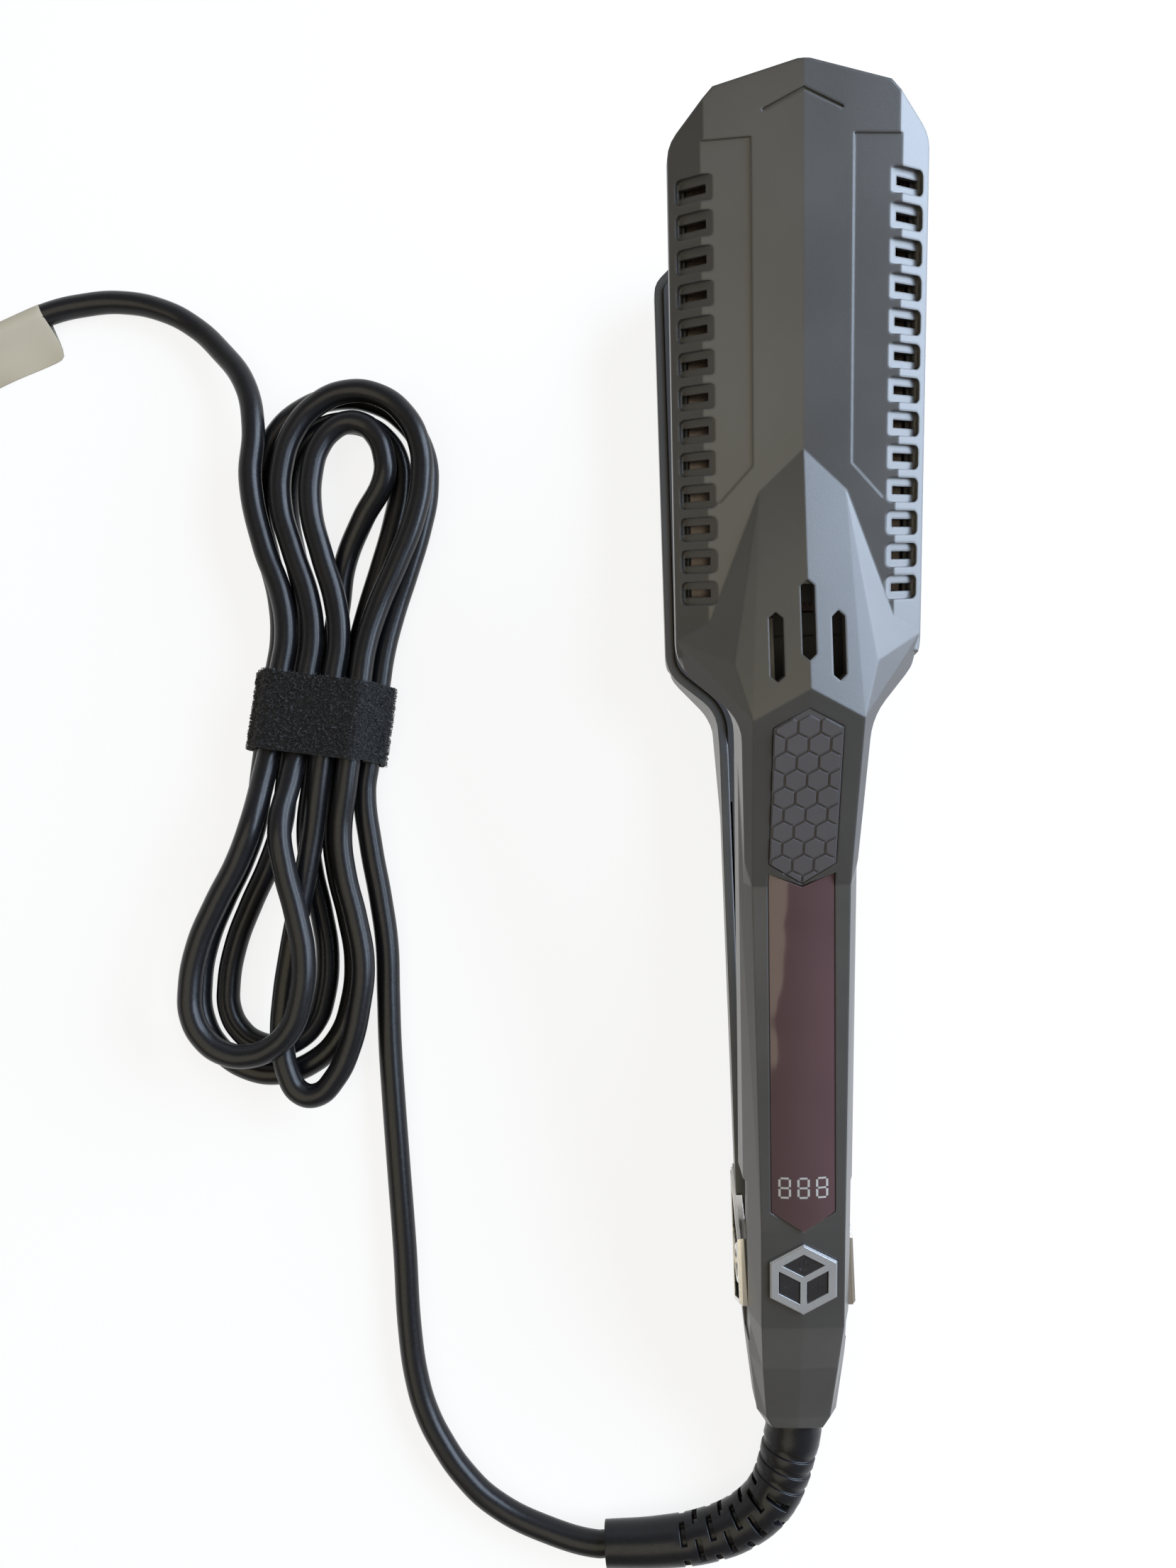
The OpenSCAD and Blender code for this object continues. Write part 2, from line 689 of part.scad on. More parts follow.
module heat_shield() {
    color(silver_c)
        box([-shield_half, shield_half], [plate_y + 5, plate_y + plate_l - 5],
            [shield_z, shield_z + shield_t]);
}

module lower_inner_cover() { place_lower() inner_cover(); }
module lower_head_frame() { place_lower() head_frame(); }
module lower_plate() { place_lower() plate(); }
module lower_plate_carrier() { place_lower() plate_carrier(); }
module lower_heater() { place_lower() heater(); }
module lower_heat_shield() { place_lower() heat_shield(); }
module lower_float_pads() {
    place_lower() for (y = pad_ys) float_pads(y);
}
module lower_screws() { place_lower() arm_screws(); }
module upper_inner_cover() { place_upper() inner_cover(); }
module upper_head_frame() { place_upper() head_frame(); }
module upper_plate() { place_upper() plate(); }
module upper_plate_carrier() { place_upper() plate_carrier(); }
module upper_heater() { place_upper() heater(); }
module upper_heat_shield() { place_upper() heat_shield(); }
module upper_pads_rear() { place_upper() float_pads(pad_ys[0]); }
module upper_pads_front() { place_upper() float_pads(pad_ys[1]); }
module upper_screws() { place_upper() arm_screws(); }

// Two wires along the handle, from the terminal block below and from the
// control board above, each ending short of the plate's carrier
wire_r = 0.7;
wire_route = [[4.6, 72, 5], [4.6, 119, 5.4], [5.4, 140, 6.4], [6, 156, 6.4]];
module leads(start) {
    color([0.75, 0.72, 0.68]) sides()
        tube(bend(concat(start, wire_route), 2), wire_r, 8);
}
module lower_leads() {
    place_lower() leads([[5.2, -10.9, 11.9], [5.4, -6, 10.4], [6.3, 8, 7],
        [6.3, 36, 5]]);
}
module upper_leads() {
    under = board_z - wire_r - 0.3;
    place_upper() leads([[5.2, 46, under], [5.2, board_y[1] - 5, under]]);
}
module terminal_block() {
    color([0.82, 0.80, 0.70]) place_lower() {
        box([-6, 6], [slip_y[0] + 0.4, -11.6], [13, arm_h - wall - 0.1]);
        for (y = slip_y)
            box([-1.5, 1.5], [y - 0.6, y + 0.6], [swivel_z + slip_r + 0.3, 13.1]);
        sides() box([4.2, 6], [-13, -11.6], [11.2, 13.1]);
    }
}

// Hinge
module hinge_pin() {
    color(silver_c) place_lower() translate([-12.6, 0, 0]) rotate([0, 90, 0])
        cylinder(r = pin_r, h = 25.2, $fn = 64);
}
cap_x = 13.5;
module pivot_cap() {
    color(chrome_c) place_lower() translate([bezel_x, 0, 0]) rotate([0, 90, 0])
        difference() {
            union() {
                cylinder(r = cap_r, h = cap_x - bezel_x - 0.5, $fn = 64);
                translate([0, 0, cap_x - bezel_x - 0.5])
                    cylinder(r1 = cap_r, r2 = cap_r - 0.5, h = 0.5, $fn = 64);
            }
            translate([0, 0, -1])
                cylinder(r = pin_r + 0.02, h = 12.6 - bezel_x + 1, $fn = 64);
            translate([0, 0, cap_x - bezel_x - 0.4])
                cylinder(r = 3.2, h = 1, $fn = 64);
        }
}
module pivot_cap_right() { pivot_cap(); }
module pivot_cap_left() { mirror([1, 0, 0]) pivot_cap(); }
// The bezel's outline seen from the side, with the arms' plane at y = 0
module bezel_shape(d) {
    polygon(inset([for (p = bezel_pts) p], d));
}
module from_side(x, t) {
    translate([x, 0, 0]) rotate([90, 0, 90]) linear_extrude(t) children();
}
bezel_t = 2.2;
module bezel() {
    color(chrome_c) translate([0, pivot_y, arm_h]) difference() {
        union() {
            from_side(bezel_x, bezel_t - 0.6) bezel_shape(0);
            from_side(bezel_x + bezel_t - 0.6, 0.3) bezel_shape(0.3);
            from_side(bezel_x + bezel_t - 0.3, 0.3) bezel_shape(0.6);
        }
        from_side(bezel_x - 1, bezel_t + 2) bezel_shape(bezel_band);
    }
}
module bezel_pocket() {
    mirror([0, 0, 1]) sides() from_side(bezel_x, 8) bezel_shape(-fit_gap);
}
module hinge_bezel_right() { bezel(); }
module hinge_bezel_left() { mirror([1, 0, 0]) bezel(); }

// The spring stands between the bottoms of the two cups.
spring_foot = [0, spring_y, -cup_depth];
spring_head = [0, spring_y * cos(open_angle) - cup_depth * sin(open_angle),
    spring_y * sin(open_angle) + cup_depth * cos(open_angle)];
spring_seat = (spring_r + spring_wire / 2) * sin(open_angle / 2) + 0.05;
spring_span = norm(spring_head - spring_foot) - 2 * spring_seat;
module hinge_spring() {
    w = spring_wire / 2;
    n = spring_turns * 12;
    rise = spring_span - 2 * w;
    flat = 0.75;
    pts = [for (i = [0:n]) let (
        a = i * 30, t = i / n,
        u = min(1, max(0, (t * spring_turns - flat) / (spring_turns - 2 * flat))))
        [spring_r * cos(a), spring_r * sin(a),
            w + flat * spring_wire * 1.2 * (min(1, t * spring_turns / flat)
                - min(1, (1 - t) * spring_turns / flat) + 1) / 2
            + (rise - flat * spring_wire * 1.2) * u]];
    color(silver_c) translate([0, pivot_y, arm_h] + spring_foot + [0, 0, spring_seat])
        rotate([-atan2(spring_head[1] - spring_foot[1],
            spring_head[2] - spring_foot[2]), 0, 0]) tube(pts, w, 6);
}

// Swivel
slip_y = [8 - tail_l, 12 - tail_l];
slip_r = 3.2;
module along_swivel() {
    place_lower() translate([0, 0, swivel_z]) rotate([-90, 0, 0]) children();
}
module stage(r, y0, y1) {
    translate([0, 0, y0]) cylinder(r = r, h = y1 - y0, $fn = 64);
}
flange_y = lip_l - tail_l + 0.2;
boot_y = -tail_l - 0.5;
module swivel_core() {
    color(inner_c) along_swivel() {
        stage(swivel_r, boot_y, flange_y + 1);
        stage(flange_r, flange_y, flange_y + 1.8);
        stage(2.6, flange_y + 1, slip_y[1] + 2.5);
    }
}
module swivel_retainer() {
    color(silver_c) along_swivel() difference() {
        stage(flange_r + move_gap, flange_y + 2, flange_y + 3.2);
        stage(2.6 + move_gap, flange_y, flange_y + 4);
    }
}
module slip_rings() {
    color([0.80, 0.62, 0.30]) along_swivel() for (y = slip_y) difference() {
        stage(slip_r, y - 0.9, y + 0.9);
        stage(2.6, y - 2, y + 2);
    }
}

// What lies in the upper handle
module control_board() {
    color([0.10, 0.30, 0.16]) place_upper()
        box([-board_half, board_half], board_y, [board_z, board_z + board_t]);
}
module tact_switches() {
    top = board_z + board_t;
    color(silver_c) place_upper() on_deck(top) for (a = [0, 120, 240])
        rotate(a) translate([0, button_c]) {
            linear_extrude(switch_h) square(3.4, center = true);
            cylinder(r = 0.8, h = switch_h + 0.6, $fn = 32);
        }
}
module display_panel() {
    color([0.12, 0.12, 0.13]) place_upper()
        box([-6.4, 6.4], [lens_y + window_y[0] + 0.4, lens_y + window_y[1] - 0.5],
            [board_z + board_t, 14.3]);
}
module thermal_fuse() {
    z = shield_z + shield_t;
    color([0.70, 0.72, 0.74]) place_upper() {
        translate([0, plate_y + plate_l / 2 - 7, z + 1.1]) rotate([-90, 0, 0])
            cylinder(r = 1.1, h = 11, $fn = 32);
        translate([0, plate_y + plate_l / 2 - 17, z + 1.1]) rotate([-90, 0, 0])
            cylinder(r = 0.4, h = 31, $fn = 32);
    }
}

// Inlays of the upper handle
tile = 4.6;
module grip_pad() {
    color([0.10, 0.10, 0.11]) place_upper() on_pad() {
        translate([0, 0, -inlay_t]) linear_extrude(inlay_t - 0.2)
            polygon(pad_pts(fit_gap));
        translate([0, 0, -0.3]) linear_extrude(0.45) intersection() {
            polygon(pad_pts(fit_gap + 0.2));
            translate([0, pad_l - 4]) for (j = [0:9], i = [-2:2])
                translate([(i + (j % 2) / 2) * tile, -j * tile * sin(60)])
                    rotate(30) circle(r = tile / 2 / cos(30) - 0.3, $fn = 6);
        }
    }
}
crown_r = 34;
crown = 0.45;
module crowned(d) {
    intersection() {
        children();
        translate([0, -20, crown - crown_r]) rotate([-90, 0, 0])
            cylinder(r = crown_r + d, h = 130, $fn = 180);
    }
}
// Seven-segment digit, five wide strokes' grid, drawn from its middle
module digit(w, h, t) {
    for (y = [-h / 2, 0, h / 2]) translate([0, y])
        square([w - t, t * 0.9], center = true);
    for (x = [-w / 2, w / 2], y = [-h / 4, h / 4]) translate([x, y])
        square([t, h / 2 - t * 1.1], center = true);
}
module digits_shape() {
    for (i = [-1:1]) translate([i * 4.2, (window_y[0] + window_y[1]) / 2])
        digit(2.3, 4.6, 0.5);
}
module display_lens() {
    color(gloss_c) place_upper() on_lens() difference() {
        crowned(0) translate([0, 0, -inlay_t]) linear_extrude(3)
            polygon(lens_pts(fit_gap));
        translate([0, 0, -0.5]) linear_extrude(3) digits_shape();
    }
}
module display_digits() {
    color([0.25, 0.24, 0.24]) place_upper() on_lens() crowned(0.01)
        translate([0, 0, -0.5]) linear_extrude(3) digits_shape();
}
module button_frame() {
    color(silver_c) place_upper() on_deck(deck_h - inlay_t) difference() {
        union() {
            linear_extrude(inlay_t + 0.3) rotate(30)
                circle(r = hex_w / 2 / cos(30), $fn = 6);
            translate([0, 0, inlay_t + 0.3]) linear_extrude(0.25) rotate(30)
                circle(r = hex_w / 2 / cos(30) - 0.35, $fn = 6);
        }
        translate([0, 0, -1]) linear_extrude(5)
            for (a = [0, 120, 240]) rotate(a) rhombus(0);
    }
}
button_c = (hex_w / 2 - hex_band) / cos(30) / 2 + hex_bar / 4 / sin(60);
button_top = deck_h + 0.3;
module button(a) {
    color([0.03, 0.03, 0.035]) place_upper() difference() {
        on_deck(0) {
            translate([0, 0, button_foot + 1.1])
                linear_extrude(button_top - button_foot - 1.1)
                    rotate(a) rhombus(move_gap * 0.8);
            translate([0, 0, button_foot]) linear_extrude(1.2)
                rotate(a) rhombus(-0.45);
        }
        on_deck(button_top - 0.12) rotate(a) translate([0, button_c]) rotate(-a)
            linear_extrude(1) children();
    }
}
module power_button() {
    button(0) {
        translate([0, 0.6]) square([0.35, 1.5], center = true);
        difference() {
            circle(r = 1.25, $fn = 36);
            circle(r = 0.9, $fn = 36);
            translate([0, 1]) square([1.1, 1.6], center = true);
        }
    }
}
module minus_button() { button(120) square([2.3, 0.4], center = true); }
module plus_button() {
    button(240) {
        square([2.3, 0.4], center = true);
        square([0.4, 2.3], center = true);
    }
}

// Curve through points, with k pieces between each two
function bend(p, k) = [
    for (i = [0:len(p) - 2]) let (
        a = p[max(i - 1, 0)], b = p[i], c = p[i + 1], d = p[min(i + 2, len(p) - 1)])
        for (j = [0:k - 1]) let (t = j / k)
            b + (c - a) * (t / 2) + (2 * a - 5 * b + 4 * c - d) * (t * t / 2)
                + (3 * b - a - 3 * c + d) * (t * t * t / 2),
    p[len(p) - 1]];
function lengths(p, i = 0, sum = 0) = i == len(p) - 1 ? [sum]
    : concat([sum], lengths(p, i + 1, sum + norm(p[i + 1] - p[i])));
function along(p, ls, s) = [for (k = [0:2])
    lookup(s, [for (i = [0:len(p) - 1]) [ls[i], p[i][k]]])];
function placed(route) = [for (q = route) [q[0], q[1] + pivot_y, q[2]]];

// Bend relief: a tapering sleeve with ring grooves, from the swivel outwards
cord_r = cord_d / 2;
swivel_up = arm_h - swivel_z;
boot_route = [[0, boot_y, swivel_up], [0, boot_y - 2.2, swivel_up],
    [0, boot_y - 4.4, swivel_up],
    [-1.2, -47, swivel_up], [-2.8, -52.5, 8.2], [-6, -59, 7.9], [-12.5, -65, 7.3],
    [-22, -69, 6.7], [-34, -71, 6], [-47.4, -71.6, 5.5]];
boot_curve = bend(placed(boot_route), 6);
boot_ls = lengths(boot_curve);
boot_l = boot_ls[len(boot_ls) - 1];
boot_end_r = 5.2;
groove_pitch = 3.8;
groove_n = 11;
groove_from = 8;
function boot_size(s) = boot_r + (boot_end_r - boot_r) * s / boot_l;
boot_rings = concat([[0, 0], [2, 0], [5, 0]],
    [for (i = [0:groove_n - 1]) let (s = groove_from + i * groove_pitch)
        each [[s, 0], [s + 0.25, 1], [s + 1.45, 1], [s + 1.7, 0]]],
    [[boot_l - 12, 0], [boot_l - 6, 0], [boot_l - 0.6, 0], [boot_l, 0.35]]);
module strain_relief() {
    color([0.05, 0.05, 0.055]) tube(
        [for (q = boot_rings) along(boot_curve, boot_ls, q[0])],
        [for (q = boot_rings) boot_size(q[0]) - q[1] * 1.2], 16);
}

// Hank: strands run from end to end and curl back. Each strand has its place
// and layer across the tie, in pitches, then its place in millimetres and its
// layer in the far lobe, and the same in the near lobe.
hank_spot = [-117.7, pivot_y + 138.5];
hank_turn = -8.5;
strands = [[2, 0, 19.5, 0, 25, 0], [-2, 0, -26.5, 0, -22.5, 0],
    [1, 0, 12, 0, 18, 0], [-1, 0, -18.5, 0, -15, 0], [0, 0, 10, 1, 10.5, 0],
    [0.5, 1, -10.5, 1, 2, 1], [1.5, 1, 19, 1, 21.5, 1],
    [-0.5, 1, -18.7, 1, 8, 2], [-1.5, 1, -27, 1, -20, 2]];
curl_rise = [23, 21, 16, 14, 14, 24, 22.5, 15];
function hank_lift(y) = 1.4 * (1 - smooth((abs(y) - tie_w / 2) / 25));
function strand_at(i, y) = let (
    s = strands[i], e = y > 0 ? 2 : 4, far = abs(y) - tie_w / 2,
    rises = s[e + 1] > s[1], late = rises && s[1] == 0,
    spread = late ? smooth((far - 32) / 30)
        : y > 0 ? smooth((far - 7.5) / 45) : smooth((far - 16.5) / 40),
    up = late ? smooth((far - 32) / 30) : smooth(far / 20),
    w = s[0] * strand_pitch, layer = s[1] + (s[e + 1] - s[1]) * up)
    [w + (s[e] - w) * spread, y,
        cord_r + 0.1 + layer * strand_pitch + hank_lift(y)];
function strand_run(i, ys) = let (e = i % 2 == 0 ? 1 : -1)
    [for (y = ys) strand_at(i, e * y)];
function curl(i) = let (
    e = i % 2 == 0 ? 1 : -1, run = e > 0 ? run_half - 7 : run_half,
    a = strand_at(i, e * run), b = strand_at(i + 1, e * run),
    c = (a + b) / 2)
    [for (k = [0:7]) let (t = k * 180 / 7)
        [c[0] + (a[0] - b[0]) / 2 * cos(t), e * (run + curl_rise[i] * sin(t)),
            a[2] + (b[2] - a[2]) * k / 7]];
function hank_place(p) = [for (q = p) [
    hank_spot[0] + q[0] * cos(hank_turn) - q[1] * sin(hank_turn),
    hank_spot[1] + q[0] * sin(hank_turn) + q[1] * cos(hank_turn), q[2]]];
strand_ys = [-62, -51, -40, -30, -tie_w / 2 - 7, -tie_w / 2,
    tie_w / 2, 20, 31, 43, 55];
hank_route = hank_place(concat(
    strand_run(0, [for (i = [4:10]) strand_ys[i]]), curl(0),
    [for (i = [1:len(strands) - 2]) each concat(strand_run(i, i % 2 == 0 ? strand_ys
        : [for (k = [10:-1:0]) -strand_ys[k]]), curl(i))],
    strand_run(len(strands) - 1, [for (i = [0:9]) strand_ys[i]])));
floor_z = cord_r + 0.1;
lead_route = concat(placed([[-47.4, -71.6, 5.5], [-49.4, -71.69, 5.43],
    [-60.8, -69.4, 4.1],
    [-75.7, -62.6, floor_z], [-83.3, -55.4, floor_z], [-88.5, -48, floor_z],
    [-92.3, -40.5, floor_z], [-94.8, -32, floor_z], [-96.4, -20.5, floor_z],
    [-97.5, 0.8, floor_z], [-98.9, 22.2, floor_z], [-99.9, 38, floor_z],
    [-100.7, 53, floor_z]]),
    hank_place([[27.4, -70, floor_z], [25.2, -57, floor_z], [21.8, -45, floor_z],
        [17.6, -32, floor_z + 0.5]]), [hank_route[0]]);
// The tail leaves the hank's top, over the outer loop.
tag_dir = unit([-0.92, -0.39, 0]);
tag_spot = [-193.5, pivot_y + 254.6, floor_z];
plug_z = 9;
tail_route = concat([hank_route[len(hank_route) - 1]],
    hank_place([[-26.6, 61, floor_z + strand_pitch],
        [-28, 75, floor_z + strand_pitch - 0.6], [-33, 88, 7.4]]),
    placed([[-145.5, 242, 4.6], [-152.5, 249, floor_z],
        [-161, 254, floor_z], [-173, 257, floor_z],
        [-184, 256.6, floor_z]]),
    [tag_spot, tag_spot + 28 * tag_dir, tag_spot + 37 * tag_dir + [0, 0, 3],
        tag_spot + 46 * tag_dir + [0, 0, plug_z - floor_z],
        tag_spot + 52 * tag_dir + [0, 0, plug_z - floor_z]]);

// The whole cord is one path, which the lead, the hank and the tail share.
cord_path = concat(lead_route, [for (i = [1:len(hank_route) - 1]) hank_route[i]],
    [for (i = [1:len(tail_route) - 1]) tail_route[i]]);
hank_from = len(lead_route) - 1;
hank_to = hank_from + len(hank_route) - 1;
module cord(sides, from, to) {
    color(cord_c) tube(cord_path, cord_r, sides, [from, to]);
}
module cord_lead() { cord(10, 0, hank_from); }
module cord_hank() { cord(6, hank_from, hank_to); }
module cord_tail() { cord(10, hank_to, len(cord_path) - 1); }

// Tie round the middle of the hank
tie_t = 1;
module tie_outline(r) {
    hull() for (s = [[-2, 0], [2, 0], [1.5, 1], [-1.5, 1]])
        translate([s[0] * strand_pitch, floor_z + 1.4 + s[1] * strand_pitch])
            circle(r = cord_r + r, $fn = 24);
}
module hank_tie() {
    color([0.03, 0.03, 0.035]) translate([hank_spot[0], hank_spot[1], 0])
        rotate([0, 0, hank_turn]) translate([0, tie_w / 2, 0]) rotate([90, 0, 0])
            linear_extrude(tie_w) difference() {
                tie_outline(0.25 + tie_t);
                tie_outline(0.25);
            }
}

// Tag folded round the cord, and the plug
tag_l = 25;
tag_out = 12.6;
tag_t = 0.5;
module tag_frame(s) {
    translate(tag_spot + s * tag_dir)
        rotate([0, 0, atan2(tag_dir[1], tag_dir[0]) + 90]) children();
}
module cord_tag() {
    color([0.83, 0.78, 0.66]) tag_frame(1) difference() {
        translate([0, 0, 0]) rotate([90, 0, 0]) linear_extrude(tag_l) {
            difference() {
                circle(r = cord_r + 0.08 + tag_t, $fn = 48);
                circle(r = cord_r + 0.08, $fn = 48);
            }
        }
        translate([-20, -50, -20]) cube([40, 100, 20 - cord_r - 0.09]);
    }
    start = sqrt(pow(cord_r + 0.1, 2) - pow(cord_r + 0.09 - tag_t, 2));
    color([0.83, 0.78, 0.66]) tag_frame(1) translate([0, 0, -cord_r - 0.09])
        linear_extrude(tag_t) translate([start, -tag_l])
            square([tag_out - start, tag_l]);
}
plug_start = tag_spot + 52 * tag_dir + [0, 0, plug_z - floor_z];
module plug_frame() {
    translate(plug_start) rotate([0, 0, atan2(tag_dir[1], tag_dir[0]) - 90])
        rotate([-90, 0, 0]) children();
}
module plug_body() {
    color([0.05, 0.05, 0.055]) plug_frame() {
        for (i = [0:4]) translate([0, 0, i * 3.2])
            cylinder(r1 = 4.4 + i * 0.25, r2 = 4.9 + i * 0.25, h = 2.2, $fn = 32);
        cylinder(r = 4, h = 16, $fn = 32);
        translate([0, 0, 15.5]) linear_extrude(14) rounded(25, 15, 4);
        translate([0, 0, 29]) linear_extrude(2) rounded(27, 17, 4.5);
    }
}
module plug_blades() {
    color([0.78, 0.70, 0.52]) plug_frame() for (x = [-6.35, 6.35])
        translate([x, 0, 31]) linear_extrude(16) square([1.5, 6.6], center = true);
}

// Check of the cord: the least distance between parts of it that aren't
// neighbours, and its drawn length
cord_length = lengths(cord_path);
dense = [for (i = [0:len(cord_path) - 2]) let (
    a = cord_path[i], b = cord_path[i + 1], k = ceil(norm(b - a) / 4))
    for (j = [0:k - 1]) [a + (b - a) * j / k, cord_length[i]
        + (cord_length[i + 1] - cord_length[i]) * j / k]];
least = min([for (i = [0:len(dense) - 1]) for (j = [i + 1:len(dense) - 1])
    if (dense[j][1] - dense[i][1] > 2.4 * cord_d) norm(dense[i][0] - dense[j][0])]);
echo(cord_gap = least - cord_d, cord_mm = cord_length[len(cord_length) - 1],
    relief_mm = boot_l);

lower_shell();
lower_inner_cover();
lower_head_frame();
lower_plate();
lower_plate_carrier();
lower_heater();
lower_heat_shield();
lower_float_pads();
lower_leads();
lower_screws();
terminal_block();
hinge_pin();
hinge_spring();
hinge_bezel_left();
hinge_bezel_right();
pivot_cap_left();
pivot_cap_right();
swivel_retainer();
upper_shell();
upper_inner_cover();
upper_head_frame();
upper_plate();
upper_plate_carrier();
upper_heater();
upper_heat_shield();
upper_pads_rear();
upper_pads_front();
upper_leads();
upper_screws();
grip_pad();
display_lens();
display_panel();
display_digits();
button_frame();
control_board();
tact_switches();
thermal_fuse();
power_button();
minus_button();
plus_button();
swivel_core();
slip_rings();
strain_relief();
cord_lead();
cord_hank();
hank_tie();
cord_tail();
cord_tag();
plug_body();
plug_blades();
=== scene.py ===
import math
import random

import bmesh
import bpy
from mathutils import Matrix, Vector


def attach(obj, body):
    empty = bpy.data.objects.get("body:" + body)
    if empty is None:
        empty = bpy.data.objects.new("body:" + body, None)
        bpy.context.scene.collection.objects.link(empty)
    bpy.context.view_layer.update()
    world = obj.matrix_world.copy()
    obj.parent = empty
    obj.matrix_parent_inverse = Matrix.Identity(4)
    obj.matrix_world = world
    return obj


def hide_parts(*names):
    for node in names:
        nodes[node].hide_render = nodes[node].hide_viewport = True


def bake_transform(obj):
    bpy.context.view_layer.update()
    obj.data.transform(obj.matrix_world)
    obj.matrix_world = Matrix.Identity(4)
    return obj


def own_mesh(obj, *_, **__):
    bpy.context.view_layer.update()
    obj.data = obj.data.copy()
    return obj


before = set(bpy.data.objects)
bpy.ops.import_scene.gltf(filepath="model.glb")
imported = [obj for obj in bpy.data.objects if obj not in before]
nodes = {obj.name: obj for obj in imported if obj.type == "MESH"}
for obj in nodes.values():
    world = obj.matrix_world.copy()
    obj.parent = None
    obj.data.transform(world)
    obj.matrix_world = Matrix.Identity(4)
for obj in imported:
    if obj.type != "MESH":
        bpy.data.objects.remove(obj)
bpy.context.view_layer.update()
mm = 0.001
scene = bpy.context.scene
print("frame loaded:", len(nodes), "nodes")

# The iron lies open with the lower arm level. Arm points are given as
# (across, along from the hinge, out from the plane where the arms meet).
iron = {"hinge": -111.379, "seam": 17.0, "open": math.radians(15)}


def upperPoint(across, along, out):
    a = iron["open"]
    return Vector((across,
                   iron["hinge"] + along * math.cos(a) - out * math.sin(a),
                   iron["seam"] + along * math.sin(a) + out * math.cos(a))) * mm


def lowerPoint(across, along, out):
    return Vector((across, iron["hinge"] + along, iron["seam"] - out)) * mm


# Camera: looking down, with the tip at the top of the picture. Angles in degrees
camera = {"place": (-0.0397, -0.0150, 0.3004), "lens": 25.784,
          "roll": 1.59, "tilt": -4.38, "lean": -1.54}
lens = bpy.data.cameras.new("camera")
lens.lens = camera["lens"]
lens.sensor_width = 36
lens.clip_start, lens.clip_end = 0.01, 20
eye = bpy.data.objects.new("camera", lens)
scene.collection.objects.link(eye)
toView = (Matrix.Rotation(math.radians(camera["lean"]), 3, "Y")
          @ Matrix.Rotation(math.radians(camera["tilt"]), 3, "X")
          @ Matrix.Rotation(math.radians(camera["roll"]), 3, "Z"))
eye.matrix_world = Matrix.Translation(camera["place"]) @ toView.transposed().to_4x4()
scene.camera = eye


# Small helpers for selecting and editing by place
def clearSelection():
    if bpy.context.object and bpy.context.object.mode != "OBJECT":
        bpy.ops.object.mode_set(mode="OBJECT")
    bpy.ops.object.select_all(action="DESELECT")


def pick(piece):
    clearSelection()
    bpy.context.view_layer.objects.active = piece
    piece.select_set(True)


def named(name):
    piece = bpy.context.object
    piece.name = piece.data.name = name
    return piece


def choose(piece, faceTest=None, edgeTest=None):
    bpy.ops.object.mode_set(mode="EDIT")
    bpy.ops.mesh.select_mode(type="FACE" if faceTest else "EDGE")
    bpy.ops.mesh.select_all(action="DESELECT")
    mesh = bmesh.from_edit_mesh(piece.data)
    for part in (mesh.faces if faceTest else mesh.edges):
        part.select_set(bool((faceTest or edgeTest)(part)))
    bmesh.update_edit_mesh(piece.data)


def finishModifiers(piece):
    pick(piece)
    for modifier in list(piece.modifiers):
        bpy.ops.object.modifier_apply(modifier=modifier.name)


def settle(piece, angle=35):
    # Puts the place into the mesh and smooths the shading.
    if piece.type != "MESH":
        pick(piece)
        bpy.ops.object.convert(target="MESH")
        piece = bpy.context.object
    pick(piece)
    bpy.ops.object.transform_apply(location=True, rotation=True, scale=True)
    bpy.ops.object.shade_smooth_by_angle(angle=math.radians(angle))
    return piece


def cleanMesh(piece):
    pick(piece)
    bpy.ops.object.mode_set(mode="EDIT")
    bpy.ops.mesh.select_all(action="SELECT")
    bpy.ops.mesh.remove_doubles(threshold=0.00001)
    bpy.ops.mesh.normals_make_consistent(inside=False)
    bpy.ops.object.mode_set(mode="OBJECT")


def soften(piece, width, segments, angle=30):
    rim = piece.modifiers.new("soften", "BEVEL")
    rim.width = width
    rim.segments = segments
    rim.limit_method = "ANGLE"
    rim.angle_limit = math.radians(angle)


def joined(parts, name):
    clearSelection()
    for part in parts:
        part.select_set(True)
    bpy.context.view_layer.objects.active = parts[0]
    bpy.ops.object.join()
    return named(name)


def lineCurve(name, points, radius=0.0, sides=5, steps=8):
    curve = bpy.data.curves.new(name, "CURVE")
    curve.dimensions = "3D"
    curve.resolution_u = steps
    curve.bevel_depth = radius
    curve.bevel_resolution = sides
    curve.use_fill_caps = True
    line = curve.splines.new("BEZIER")
    line.bezier_points.add(len(points) - 1)
    for knot, point in zip(line.bezier_points, points):
        knot.co = point
        knot.handle_left_type = knot.handle_right_type = "AUTO"
    piece = bpy.data.objects.new(name, curve)
    scene.collection.objects.link(piece)
    return piece


def curveLength(piece):
    line = piece.to_mesh()
    spots = [v.co for v in line.vertices]
    total = sum((spots[e.vertices[0]] - spots[e.vertices[1]]).length for e in line.edges)
    piece.to_mesh_clear()
    return total


# The cord's route, in millimetres and then in metres
cordSizes = {"diameter": 6.1, "exit": (0, -38.5, 8.4), "floor": 3.15,
             "pitch": 7.0, "nearRun": 73, "farRun": 66, "tieWidth": 21,
             "lift": 1.4, "liftFade": 25, "rise": 20,
             "hankSpot": (-117.7, iron["hinge"] + 138.5), "hankTurn": -8.5,
             "tagSpot": (-193.5, iron["hinge"] + 254.6, 3.15),
             "tagDirection": (-0.92, -0.39, 0), "plugHeight": 9}
